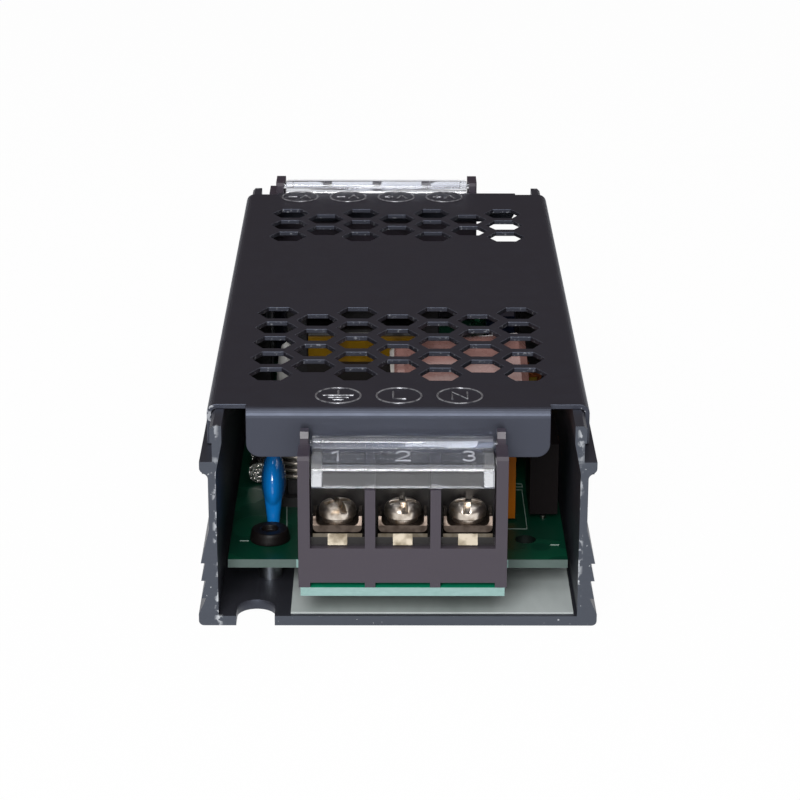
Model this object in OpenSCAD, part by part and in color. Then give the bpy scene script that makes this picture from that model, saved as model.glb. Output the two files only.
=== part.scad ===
// Enclosed power supply: a U-channel chassis with a vented folded cover, a circuit board between
// them, and a screw terminal block with a clear hinged cover at each end.
// Millimetres. X to the right, Y from the mains end to the output end, Z up.
// The origin is the middle of the chassis underside.

/* [Chassis] */
// Length of the channel
chassis_length = 136; // [134:1:180]
// Width over the two base flanges
chassis_width = 62; // [61.5:0.5:80]
// Thickness of the floor
base_thickness = 1.6; // [1.2:0.1:2.4]
// Thickness of the side walls
wall_thickness = 1.2; // [0.9:0.1:1.6]
// Height of the side walls, where the cover rests
wall_height = 33.2; // [32:0.1:40]
// Reach of the base flange beyond the wall
base_flange = 1.9; // [1.5:0.1:3]
// Height of the base flange's tip
base_flange_tip = 1.9; // [1.4:0.1:2.8]
// Radius of the base flange's lower corners
base_corner = 0.8; // [0.3:0.1:1.2]
// Number of saw-tooth ribs on each wall
tooth_count = 3; // [1:1:4]
// Height of the lowest rib's flat underside
tooth_first = 4.6; // [3.6:0.1:6]
// Distance between the ribs
tooth_pitch = 2.95; // [2:0.05:3.4]
// Reach of the ribs beyond the wall
tooth_reach = 1.4; // [0.9:0.1:1.8]
// Reach of the ribs' roots beyond the wall
tooth_root = 0.7; // [0.3:0.1:0.8]
// Length of the slope above the top rib
tooth_taper = 5.7; // [2:0.1:7]
// Height of the ledge that the cover's side flanges come down to
ledge_height = 27.3; // [26.5:0.1:28]
// Thickness of the ledge
ledge_thickness = 1.9; // [1.2:0.1:2.6]
// Reach of the ledge beyond the wall
ledge_reach = 1.3; // [1.2:0.1:1.8]
// Radius under the ledge, at its root and at its tip
ledge_radius = 0.9; // [0.4:0.1:1]
// How far the wall steps in above the ledge
groove_depth = 0.7; // [0.4:0.1:0.8]
// Height of the thicker head at the top of the wall
head_height = 2.8; // [1.8:0.1:4]
// How far the head leans inwards
head_lean = 1; // [0.4:0.1:1.4]
// Chamfer on the outside of the head
head_chamfer = 0.5; // [0.2:0.1:0.8]
// Width of the mounting notches
notch_width = 6; // [4.2:0.1:8]
// Depth of the mounting notches
notch_depth = 6.2; // [5:0.1:7]
// Distance of the mounting notches from the middle
notch_offset = 22.2; // [21:0.1:23]

/* [Cover] */
// Thickness of the cover's sheet
cover_sheet = 0.8; // [0.6:0.1:1.2]
// Outer radius of the cover's bends
cover_bend = 1.5; // [1.5:0.1:2.4]
// Distance from the chassis ends to the cover's corners
cover_setback = 7.5; // [7:0.1:9]
// Distance from the chassis ends to the end flanges
end_flange_setback = 5.3; // [5.2:0.1:5.6]
// Width of the end flanges
end_flange_width = 47; // [44:0.5:52]
// Height of the end flange over the mains block
front_flange_height = 7.9; // [5:0.1:9]
// Height of the end flange over the output block
rear_flange_height = 6; // [4:0.1:9]
// Radius of the end flanges' lower corners
end_flange_corner = 2.2; // [0.5:0.1:3.5]
// Gap between the cover and the chassis it fits over
cover_gap = 0.1; // [0.05:0.05:0.3]
// Width of a vent from corner to corner
vent_width = 7; // [4:0.1:7.2]
// Distance between the columns of vents
vent_pitch = 6.79; // [6.4:0.01:7]
// Number of columns of vents
vent_columns = 7; // [3:2:7]
// Number of rows in the front group
front_vent_rows = 5; // [2:1:6]
// Number of rows in the rear group
rear_vent_rows = 3; // [2:1:5]
// Distance from the chassis end to the nearest row of the front group
front_vent_start = 21.6; // [20:0.1:30]
// Distance from the chassis end to the nearest row of the rear group
rear_vent_start = 21.2; // [19:0.1:30]

/* [Board] */
// Thickness of the circuit board
board_thickness = 1.4; // [1:0.1:1.8]
// Height of the board's underside
board_height = 6.5; // [5.7:0.1:7]
// Gap between the board and the chassis walls
board_side_gap = 1.1; // [0.8:0.1:1.6]
// Distance from the chassis ends to the board's ends
board_setback = 7.6; // [7:0.1:8.4]
// How much narrower a board tongue is than its terminal block
tongue_inset = 0.6; // [0.2:0.1:1]
// Distance of the fixing holes from the middle
fixing_offset = 20.5; // [20:0.1:21]
// Distance of the fixing holes from the chassis ends
fixing_setback = 15.8; // [15:0.1:16.2]
// Diameter of the fixing holes
fixing_hole = 3.4; // [3:0.1:3.8]
// Outer diameter of the posts under the board
standoff_diameter = 3.8; // [3.7:0.1:5]
// Diameter of the rivet heads
rivet_head = 6.6; // [5:0.1:6.8]
// Height of the rivet heads
rivet_height = 1.9; // [1:0.1:2.2]
// Diameter of the rivet stems
rivet_stem = 3; // [2.4:0.1:3]
// Thickness of the white sheet under the board
liner_thickness = 0.3; // [0.2:0.05:0.6]
// Distance from the chassis ends to the white sheet
liner_setback = 0.9; // [0.5:0.1:3]
// Gap between the white sheet and the chassis walls
liner_side_gap = 0.5; // [0.5:0.1:2]
// Gap between the white sheet and the mounting notches
liner_notch_gap = 2.5; // [2:0.1:4]
// Diameter of the component leads
lead_diameter = 0.8; // [0.6:0.05:1]
// Gap around the leads in their holes
lead_gap = 0.1; // [0.05:0.05:0.2]
// How far the leads stand out under the board
lead_tail = 1.4; // [0.8:0.1:2]

/* [Terminal blocks] */
// Number of poles at the mains end
ac_poles = 3; // [2:1:4]
// Distance between the poles at the mains end
ac_pitch = 10; // [9.4:0.1:10.4]
// Sideways place of the mains block
ac_offset = 0.7; // [0:0.1:2]
// Height of the mains block's floor above the board
ac_floor = 6.5; // [5:0.1:7.5]
// Height of the mains cover's hinge above the board
ac_hinge = 21.1; // [20:0.1:23]
// Height of the mains block's ears above the hinge
ac_ear_rise = 2.2; // [1.2:0.1:4]
// Number of poles at the output end
dc_poles = 4; // [2:1:4]
// Distance between the poles at the output end
dc_pitch = 9.5; // [9.3:0.1:9.8]
// Sideways place of the output block
dc_offset = -4; // [-5:0.1:-2]
// Height of the output block's floor above the board
dc_floor = 10.5; // [8:0.1:12]
// Height of the output cover's hinge above the board
dc_hinge = 26.8; // [26:0.1:29]
// Height of the output block's ears above the hinge
dc_ear_rise = 0.8; // [0.8:0.1:4]
// Thickness of the rib on the output block's left end
dc_side_rib = 1.3; // [0.6:0.1:2]
// Thickness of the ears
ear_thickness = 1.3; // [1.2:0.1:1.5]
// How far the blocks stand out beyond the chassis
block_overhang = 3.2; // [2.6:0.1:4]
// Gap between the blocks and the cover's end flanges
block_gap = 0.3; // [0.3:0.1:0.6]
// Depth of a block's foot, which reaches under the cover
block_foot_depth = 11.4; // [10:0.1:12]
// Height of a block's foot above its floor
block_foot_rise = 3; // [1:0.1:4]
// Thickness of the barriers between poles
barrier = 1.6; // [1.2:0.1:2]
// Thickness of a block's end walls
end_wall = 1.8; // [1.5:0.1:2.4]
// Thickness of a block's back wall
back_wall = 1.2; // [0.8:0.1:1.5]
// Height of the small feet that a block stands on
foot_height = 0.8; // [0.4:0.1:1.2]
// Height of the ledge under the contact plates
plate_ledge = 1.2; // [0.2:0.1:1.6]
// Distance from a block's face to its contact plates
plate_setback = 1.7; // [1.3:0.1:2]
// Thickness of the contact plates
plate_thickness = 0.6; // [0.5:0.1:1]
// Gap between a contact plate and the walls of its pole
plate_gap = 0.4; // [0.2:0.1:0.6]
// Width of the tab in front of a contact plate
tab_width = 3; // [2:0.1:4]

/* [Terminal screws] */
// Distance from a block's face to its screws
screw_setback = 3.8; // [3.4:0.1:4]
// Diameter of the screw heads
screw_head = 5.7; // [5:0.1:5.8]
// Height of the screw heads
screw_head_height = 2.3; // [2:0.1:3]
// Diameter of the screw threads
screw_thread = 2.8; // [2.4:0.1:3]
// Length of the screws under the clamp
screw_length = 5; // [4.4:0.1:5.4]
// Gap around the screws in the clamps, plates and blocks
screw_gap = 0.2; // [0.15:0.05:0.3]
// Diameter of the washer under the head
washer_diameter = 4.8; // [4.2:0.1:5]
// Thickness of the washer under the head
washer_thickness = 0.7; // [0.5:0.1:1]
// Thickness of the clamps
clamp_thickness = 1.1; // [0.6:0.1:1.2]
// Gap between a clamp and the walls of its pole
clamp_gap = 0.45; // [0.35:0.05:0.5]
// Depth of the clamps
clamp_depth = 5.6; // [4.6:0.1:5.8]
// Height of the wings at the sides of a clamp
clamp_wing = 1.3; // [1:0.1:2.4]
// Thickness of the wings
clamp_wing_thickness = 0.5; // [0.4:0.05:0.55]
// Radius inside the bend between a clamp's plate and its wings
clamp_bend = 0.8; // [0.2:0.1:1]
// How far the clamps stand above their contact plates
clamp_lift = 0.5; // [0.2:0.1:1.6]

/* [Terminal covers] */
// Thickness of the clear covers
lid_thickness = 1; // [0.7:0.1:1.2]
// Thickness of the clear covers' ends
lid_end = 1.6; // [0.8:0.1:1.8]
// Gap between a clear cover and the block around it
lid_gap = 0.3; // [0.2:0.05:0.5]
// Radius of the barrel at the back of a clear cover
lid_barrel = 1.05; // [0.9:0.05:1.1]
// Radius of the hinge pins
lid_pin = 0.45; // [0.35:0.05:0.55]
// Length of the hinge pins beyond the cover's ends
lid_pin_length = 1.3; // [0.8:0.1:1.3]
// Running gap around the hinge pins
lid_pin_gap = 0.05; // [0.03:0.01:0.1]
// Height of the front lip's edge below the hinge
lid_lip_drop = 4.7; // [4:0.1:6]
// Height of the mains cover's front edge below the hinge
ac_lid_drop = 0.9; // [0.6:0.1:1.6]
// Height of the output cover's outer edge below the hinge
dc_lid_drop = 0.4; // [0.3:0.1:1.6]
// Height of the lid's back below the hinge
lid_back_drop = 0.5; // [0.3:0.1:0.8]
// Radius along the lid's front edge
lid_round = 0.9; // [0.5:0.1:1.2]

/* [Mains parts] */
// Diameter of the blue disc capacitor
disc_diameter = 9.8; // [8:0.1:10]
// Thickness of the blue disc capacitor
disc_thickness = 4; // [3:0.1:4.2]
// Height of the discs above the board
disc_lift = 2.6; // [2.4:0.1:3]
// Diameter of the coating on the discs' legs
disc_leg = 1.9; // [1.2:0.1:1.9]
// Length of the amber capacitor
line_cap_length = 18; // [15:0.1:18]
// Depth of the amber capacitor
line_cap_depth = 8; // [6:0.1:8.4]
// Height of the amber capacitor
line_cap_height = 14; // [11:0.1:15]
// Diameter of the fuse's caps
fuse_diameter = 3.6; // [3:0.1:4]
// Length of the fuse
fuse_length = 11; // [10:0.1:13]
// Length of one fuse cap
fuse_cap_length = 3; // [2.4:0.1:3.4]
// Width of the choke's core
choke_width = 11; // [10:0.1:11]
// Height of the choke's core
choke_height = 13; // [11:0.1:15]
// Depth of the choke's core
choke_depth = 4.4; // [3.6:0.1:4.6]
// Thickness of the choke's base
choke_base_thickness = 1.6; // [1:0.1:2]
// Thickness of the bridge rectifier
bridge_thickness = 4.6; // [3.6:0.1:4.8]
// Length of the bridge rectifier
bridge_length = 13; // [12:0.1:13.4]
// Height of the bridge rectifier
bridge_height = 12.2; // [10:0.1:14]
// Diameter of the bulk capacitor
bulk_diameter = 20; // [18:0.1:20.4]
// Length of the bulk capacitor
bulk_length = 23.2; // [21:0.1:23.6]
// Tilt of the bulk capacitor, its right end up
bulk_tilt = 4.9; // [0:0.1:6]
// Width of the transformer's core
core_width = 27; // [24:0.1:27.4]
// Depth of the transformer's core
core_depth = 8; // [6:0.1:9]
// Height of the transformer's core
core_height = 21; // [18:0.1:21.4]
// Depth of the transformer's winding
winding_depth = 16; // [13:0.1:16.4]
// Thickness of the transformer's bobbin foot
bobbin_foot = 2; // [1.4:0.1:2.4]

/* [Output parts] */
// Thickness of the pads between the power devices and the walls
pad_thickness = 0.4; // [0.2:0.1:0.6]
// Outer diameter of the output choke
toroid_diameter = 16; // [13:0.1:16.4]
// Inner diameter of the output choke
toroid_bore = 8; // [7:0.1:9]
// Height of the output choke's core
toroid_height = 7; // [5:0.1:9]
// Diameter of the output choke's wire
toroid_wire = 0.8; // [0.5:0.1:0.9]
// Number of turns on the output choke
toroid_turns = 16; // [8:1:16]
// Diameter of the output capacitors
out_cap_diameter = 10; // [8:0.1:10.6]
// Height of the output capacitors
out_cap_height = 16; // [11:0.1:18]
// Distance between the output capacitors
out_cap_pitch = 11.2; // [11:0.1:11.6]
// Width of the trimmer
trimmer_width = 6.8; // [6:0.1:7]
// Diameter of the trimmer's rotor
rotor_diameter = 4.2; // [3.4:0.1:4.4]

/* [Hidden] */
$fn = 48;

// Small overlap that lets cuts pass clear through a face
cut = 0.5;

// Chassis section
half_width = chassis_width / 2;
wall_outer = half_width - base_flange;
wall_inner = wall_outer - wall_thickness;
groove_outer = wall_outer - groove_depth;
head_lip = 0.3;
head_outer = groove_outer + head_lip;
head_inner = wall_inner - head_lean;
head_bottom = wall_height - head_height;
ledge_bottom = ledge_height - ledge_thickness;
front_end = -chassis_length / 2;
rear_end = chassis_length / 2;

// Cover
cover_top = wall_height + cover_sheet;
cover_inner = head_outer + cover_gap;
cover_outer = cover_inner + cover_sheet;
cover_length = chassis_length - 2 * cover_setback;
vent_row_pitch = vent_pitch * 2 / sqrt(3);

// Board
board_top = board_height + board_thickness;
board_half = wall_inner - board_side_gap;
board_front = front_end + board_setback;
board_rear = rear_end - board_setback;
liner_top = base_thickness + liner_thickness;
lead_depth = board_thickness + lead_tail;
fixings = [
    [-fixing_offset, front_end + fixing_setback],
    [fixing_offset, front_end + fixing_setback],
    [-fixing_offset, rear_end - fixing_setback],
    [fixing_offset, rear_end - fixing_setback]
];
// The post and rivet at the mains end on the right were left out when the unit was put together
riveted = [0, 2, 3];

// Terminal blocks, each in its own frame: face at y = 0, board at z = 0, inwards is +y
block_depth = end_flange_setback + block_overhang - block_gap;
bay_depth = block_depth - back_wall;
ac_width = ac_poles * ac_pitch - barrier + 2 * end_wall;
dc_width = dc_poles * dc_pitch - barrier + 2 * end_wall;
lid_hinge_y = block_depth - lid_barrel;
lid_step = lid_thickness + lid_gap;
lid_pin_end_gap = lid_gap / 2;
end_wall_rise = 0.3;
ear_setback = 5.6;
ear_chamfer = 0.5;
ear_drop = 1.6;
rib_setback = 1;
post_setback = (block_depth + block_foot_depth) / 2;
post_diameter = 1.2;
plate_top = plate_ledge + plate_thickness;
clamp_height = plate_top + clamp_lift;
screw_height = clamp_height + clamp_thickness;
screw_angles = [112, 97, 84, 102];

// Places of the parts on the board, from its side edges and the chassis ends
disc_inset = 6.7;
disc_y = 22.7;
disc_at = [disc_inset - board_half, front_end + disc_y];
disc_row_y = 15.4;
varistor_x = -8;
varistor_at = [varistor_x, front_end + disc_row_y];
thermistor_x = 9;
thermistor_at = [thermistor_x, front_end + disc_row_y];
bridge_inset = 3;
bridge_y = 30.2;
bridge_at = [board_half - bridge_inset, front_end + bridge_y];
line_cap_gap = 2.3;
line_cap_y = 27.5;
line_cap_x = bridge_at.x - bridge_thickness / 2 - line_cap_gap - line_cap_length / 2;
line_cap_at = [line_cap_x, front_end + line_cap_y];
fuse_inset = 3.5;
fuse_y = 45;
fuse_at = [fuse_inset - board_half, front_end + fuse_y];
choke_inset = 14.2;
choke_y = 33.5;
choke_at = [choke_inset - board_half, front_end + choke_y];
resistors_x = -13;
resistors_y = 42.6;
resistors_at = [resistors_x, front_end + resistors_y];
bulk_left = -0.6;
bulk_y = 51.6;
bulk_at = [bulk_left + bulk_length / 2, front_end + bulk_y];
bobbin_reach = 1.4;
transformer_gap = 0.4;
transformer_y = (bulk_diameter + winding_depth) / 2 + bobbin_reach + transformer_gap;
toroid_edge_gap = 0.8;
toroid_reach = toroid_diameter / 2 + toroid_wire + lead_gap;
toroid_at = [board_half - toroid_edge_gap - toroid_reach, bulk_at.y + transformer_y];
transformer_x = toroid_at.x - toroid_reach - toroid_edge_gap - core_width / 2;
transformer_at = [transformer_x, toroid_at.y];
switch_y = 50;
rectifier_y = 33;
out_cap_inset = 0.6;
out_cap_x = out_cap_inset + out_cap_diameter / 2 + out_cap_pitch - board_half;
out_cap_y = 29;
out_cap_at = [out_cap_x, rear_end - out_cap_y];
chip_gap = 5.2;
chip_x = out_cap_at.x + out_cap_pitch + out_cap_diameter / 2 + chip_gap;
chip_y = 32.2;
chip_at = [chip_x, rear_end - chip_y];
opto_y = 37.4;
opto_at = [out_cap_at.x + out_cap_pitch, rear_end - opto_y];
trimmer_inset = 6;
trimmer_y = 24.2;
trimmer_at = [board_half - trimmer_inset, rear_end - trimmer_y];
lamp_inset = 10.6;
lamp_y = 19.6;
lamp_at = [board_half - lamp_inset, rear_end - lamp_y];

// Leads of the parts, from the middle of each, many of them on the board's hole grid
grid = 2.54;
disc_lead_pitch = 5;
disc_leads = [[0, -disc_lead_pitch / 2], [0, disc_lead_pitch / 2]];
round_disc_leads = [[-disc_lead_pitch / 2, 0], [disc_lead_pitch / 2, 0]];
line_cap_inset = 3;
line_cap_leads = [[line_cap_inset - line_cap_length / 2, 0], [line_cap_length / 2 - line_cap_inset, 0]];
fuse_leads = [[0, (fuse_cap_length - fuse_length) / 2], [0, (fuse_length - fuse_cap_length) / 2]];
choke_lead_reach = [4, 3.4];
choke_leads = [for (x = [-1, 1], y = [-1, 1]) [x * choke_lead_reach.x, y * choke_lead_reach.y]];
bridge_lead_pitch = 3.4;
bridge_leads = [for (i = [-1.5:1:1.5]) [0, i * bridge_lead_pitch]];
bulk_lead_out = 1.2;
bulk_lead_x = -bulk_length / 2 - bulk_lead_out;
bulk_lead_pitch = 10;
bulk_leads = [[bulk_lead_x, -bulk_lead_pitch / 2], [bulk_lead_x, bulk_lead_pitch / 2]];
bobbin_lead_pitch = 3.6;
core_gap = 0.2;
bobbin_lead_y = (winding_depth + core_gap + bobbin_reach) / 2;
bobbin_leads = [for (i = [-1.5:1:1.5], s = [-1, 1]) [i * bobbin_lead_pitch, s * bobbin_lead_y]];
device_leads = [for (i = [-1:1:1]) [0, i * grid]];
toroid_lead_ring = (toroid_diameter + toroid_wire) / 2;
toroid_step = 330 / toroid_turns;
toroid_leads = [
    for (i = [0, toroid_turns - 1])
        toroid_lead_ring * [cos(i * toroid_step), sin(i * toroid_step)]
];
can_lead_pitch = 5;
can_leads = [[-can_lead_pitch / 2, 0], [can_lead_pitch / 2, 0]];
chip_row = 1.5 * grid;
chip_length = 9.4;
opto_length = 4.7;
chip_leads = [for (i = [-1.5:1:1.5], s = [-1, 1]) [s * chip_row, i * grid]];
opto_leads = [for (i = [-0.5:1:0.5], s = [-1, 1]) [s * chip_row, i * grid]];
resistor_count = 3;
resistor_body = 2.4;
resistor_length = 6.4;
resistor_lift = 0.4;
resistor_pitch = 3.6;
resistor_reach = 5;
resistor_leads = [for (i = [0:resistor_count - 1], s = [-1, 1]) [s * resistor_reach, i * resistor_pitch]];
lamp_leads = [[-grid / 2, 0], [grid / 2, 0]];
trimmer_leads = [for (i = [-1:1:1]) [i * grid, 0]];

// Power devices, with their backs on the pads
device_width = 10;
device_depth = 4.4;
device_height = 15.6;
device_lift = 1;
device_tab = 1.3;
device_tab_height = 4.6;
device_hole = 3.2;
device_back = wall_inner - pad_thickness;
device_lead_setback = 1.6;
device_lead_x = device_back - device_tab - device_lead_setback;
switch_at = [-device_lead_x, rear_end - switch_y];
rectifier_at = [device_lead_x, rear_end - rectifier_y];

function moved(points, at) = [for (p = points) p + at];

lead_places = concat(
    moved(disc_leads, disc_at),
    moved(round_disc_leads, varistor_at), moved(round_disc_leads, thermistor_at),
    moved(line_cap_leads, line_cap_at), moved(fuse_leads, fuse_at), moved(choke_leads, choke_at),
    moved(bridge_leads, bridge_at), moved(bulk_leads, bulk_at), moved(bobbin_leads, transformer_at),
    moved(device_leads, switch_at), moved(device_leads, rectifier_at), moved(toroid_leads, toroid_at),
    [for (i = [-1:1]) each moved(can_leads, out_cap_at + [i * out_cap_pitch, 0])],
    moved(chip_leads, chip_at), moved(opto_leads, opto_at), moved(resistor_leads, resistors_at),
    moved(lamp_leads, lamp_at), moved(trimmer_leads, trimmer_at)
);

// Points of an arc about a centre, from one angle to another
function arc(centre, radius, from, to, steps = 6) =
    [for (i = [0:steps]) let (a = from + (to - from) * i / steps) centre + radius * [cos(a), sin(a)]];

// Sideways place of a pole from the middle of its block
function pole_x(poles, pitch, i) = (i - (poles + 1) / 2) * pitch;

// An outline in X and Z, pushed out along Y
module along_y(length) {
    rotate([90, 0, 0])
        linear_extrude(length, center = true)
            children();
}

// An outline in Y and Z, pushed out along X
module along_x(length) {
    rotate([90, 0, 90])
        linear_extrude(length, center = true)
            children();
}

// A box from its low corner to its high corner
module span(low, high) {
    translate(low)
        cube(high - low);
}

// A mains block and an output block stand the same way round their own ends
module at_front_block() {
    translate([ac_offset, front_end - block_overhang, board_top])
        children();
}

module at_rear_block() {
    translate([dc_offset, rear_end + block_overhang, board_top])
        rotate([0, 0, 180])
            children();
}

// Leads that run from a part down through the board
module leads(places, height) {
    for (p = places)
        translate([p.x, p.y, -lead_depth])
            cylinder(d = lead_diameter, h = lead_depth + height);
}

module on_board(at) {
    translate([at.x, at.y, board_top])
        children();
}

// Right half of the channel's section, from the base upwards
function tooth_points() = [
    for (i = [0:tooth_count - 1])
        let (z = tooth_first + i * tooth_pitch)
            each [[wall_outer + tooth_root, z], [wall_outer + tooth_reach, z]]
];
function half_section() = concat(
    arc([half_width - base_corner, base_corner], base_corner, -90, 0),
    [[half_width, base_flange_tip]],
    tooth_points(),
    [[wall_outer, tooth_first + (tooth_count - 1) * tooth_pitch + tooth_taper]],
    arc([wall_outer + ledge_radius, ledge_bottom - ledge_radius], ledge_radius, 180, 90),
    arc([wall_outer + ledge_reach - ledge_radius, ledge_bottom + ledge_radius], ledge_radius, -90, 0),
    [
        [wall_outer + ledge_reach, ledge_height],
        [groove_outer, ledge_height],
        [groove_outer, head_bottom],
        [head_outer, head_bottom],
        [head_outer, wall_height - head_chamfer],
        [head_outer - head_chamfer, wall_height],
        [head_inner, wall_height],
        [head_inner, head_bottom],
        [wall_inner, ledge_bottom],
        [wall_inner, base_thickness]
    ]
);
function backwards(points) = [for (i = [len(points) - 1:-1:0]) points[i]];
function mirrored(points) = [for (p = backwards(points)) [-p.x, p.y]];

module notch(x, y, direction) {
    height = base_thickness + 2 * cut;
    straight = notch_depth - notch_width / 2;
    translate([x, y, -cut]) {
        translate([0, direction * straight, 0])
            cylinder(d = notch_width, h = height);
        span(
            [-notch_width / 2, min(-direction * cut, direction * straight), 0],
            [notch_width / 2, max(-direction * cut, direction * straight), height]
        );
    }
}

module chassis() {
    color([0.13, 0.13, 0.15])
        difference() {
            along_y(chassis_length)
                polygon(concat(half_section(), mirrored(half_section())));
            notch(-notch_offset, front_end, 1);
            notch(notch_offset, rear_end, -1);
        }
}

// The cover's section: top with a bend and a flange at each side
function cover_half(outer, radius, top) = concat(
    [[outer, ledge_height + cover_gap]],
    arc([outer - radius, top - radius], radius, 0, 90)
);

module cover_shell() {
    outside = cover_half(cover_outer, cover_bend, cover_top);
    inside = cover_half(cover_inner, cover_bend - cover_sheet, wall_height);
    along_y(cover_length)
        polygon(concat(outside, mirrored(outside), backwards(concat(inside, mirrored(inside)))));
}

// An end flange: it runs out from the top, bends and hangs down
module end_flange(height) {
    reach = cover_setback - end_flange_setback;
    bend_in = cover_bend - cover_sheet;
    centre = [-reach + cover_bend, cover_top - cover_bend];
    bottom = cover_top - height;
    difference() {
        along_x(end_flange_width)
            polygon(concat(
                [[cut, cover_top]],
                arc(centre, cover_bend, 90, 180),
                [[-reach, bottom], [-reach + cover_sheet, bottom]],
                arc(centre, bend_in, 180, 90),
                [[cut, wall_height]]
            ));
        for (side = [-1, 1])
            translate([side * (end_flange_width / 2 - end_flange_corner), 0, bottom + end_flange_corner])
                rotate([90, 0, 0])
                    difference() {
                        translate([side * end_flange_corner, -end_flange_corner, 0])
                            cube(
                                [2 * end_flange_corner, 2 * end_flange_corner, 4 * cover_setback],
                                center = true
                            );
                        cylinder(r = end_flange_corner, h = 5 * cover_setback, center = true);
                    }
    }
}

// One group of vents: odd columns have one row less and stand half a row further in
module vents(rows, direction) {
    for (column = [0:vent_columns - 1])
        let (odd = column % 2)
            for (row = [0:rows - 1 - odd])
                translate([
                    (column - (vent_columns - 1) / 2) * vent_pitch,
                    direction * (row + odd / 2) * vent_row_pitch,
                    wall_height - cut
                ])
                    cylinder(d = vent_width, h = cover_sheet + 2 * cut, $fn = 6);
}

module top_cover() {
    color([0.11, 0.11, 0.13])
        difference() {
            union() {
                cover_shell();
                translate([0, front_end + cover_setback, 0])
                    end_flange(front_flange_height);
                translate([0, rear_end - cover_setback, 0])
                    rotate([0, 0, 180])
                        end_flange(rear_flange_height);
            }
            translate([0, front_end + front_vent_start, 0])
                vents(front_vent_rows, 1);
            translate([0, rear_end - rear_vent_start, 0])
                vents(rear_vent_rows, -1);
        }
}

// The white sheet keeps clear of the two notches and the posts beside them
module insulating_sheet() {
    half = wall_inner - liner_side_gap;
    cut_x = notch_offset - notch_width / 2 - liner_notch_gap;
    cut_y = fixing_setback + standoff_diameter;
    low = front_end + liner_setback;
    high = rear_end - liner_setback;
    color([0.92, 0.93, 0.93])
        difference() {
            span([-half, low, base_thickness], [half, high, liner_top]);
            span([-half - cut, low - cut, 0], [-cut_x, front_end + cut_y, liner_top + cut]);
            span([cut_x, rear_end - cut_y, 0], [half + cut, high + cut, liner_top + cut]);
            for (i = riveted)
                translate([fixings[i].x, fixings[i].y, 0])
                    cylinder(d = standoff_diameter + 2 * cover_gap, h = liner_top + cut);
        }
}

module circuit_board() {
    color([0.02, 0.27, 0.17])
        difference() {
            union() {
                span([-board_half, board_front, board_height], [board_half, board_rear, board_top]);
                span(
                    [ac_offset - ac_width / 2 + tongue_inset / 2, front_end - block_overhang, board_height],
                    [ac_offset + ac_width / 2 - tongue_inset / 2, board_front + cut, board_top]
                );
                span(
                    [dc_offset - dc_width / 2 + tongue_inset / 2, board_rear - cut, board_height],
                    [dc_offset + dc_width / 2 - tongue_inset / 2, rear_end + block_overhang, board_top]
                );
            }
            for (p = fixings)
                translate([p.x, p.y, board_height - cut])
                    cylinder(d = fixing_hole, h = board_thickness + 2 * cut);
            for (p = lead_places)
                translate([p.x, p.y, board_height - cut])
                    cylinder(d = lead_diameter + 2 * lead_gap, h = board_thickness + 2 * cut);
            at_front_block()
                post_holes(ac_poles, ac_pitch);
            at_rear_block()
                post_holes(dc_poles, dc_pitch);
        }
}

// Holes in the board for the contact plates' posts
module post_holes(poles, pitch) {
    for (i = [1:poles])
        translate([pole_x(poles, pitch, i), post_setback, -board_thickness - cut])
            cylinder(d = post_diameter + 2 * lead_gap, h = board_thickness + 2 * cut);
}

module board_standoffs() {
    color([0.55, 0.56, 0.58])
        for (i = riveted)
            translate([fixings[i].x, fixings[i].y, base_thickness])
                difference() {
                    cylinder(d = standoff_diameter, h = board_height - base_thickness);
                    cylinder(d = fixing_hole, h = 2 * board_height);
                }
}

module board_rivets() {
    recess_width = rivet_head * 0.42;
    crown = rivet_head * 0.88;
    color([0.06, 0.06, 0.06])
        for (i = riveted)
            translate([fixings[i].x, fixings[i].y, board_top])
                difference() {
                    union() {
                        cylinder(d1 = rivet_head, d2 = crown, h = rivet_height);
                        translate([0, 0, liner_top - board_top])
                            cylinder(d = rivet_stem, h = board_top - liner_top + rivet_height / 2);
                    }
                    translate([0, 0, rivet_height / 2])
                        cylinder(d = recess_width, h = rivet_height);
                }
}

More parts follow.
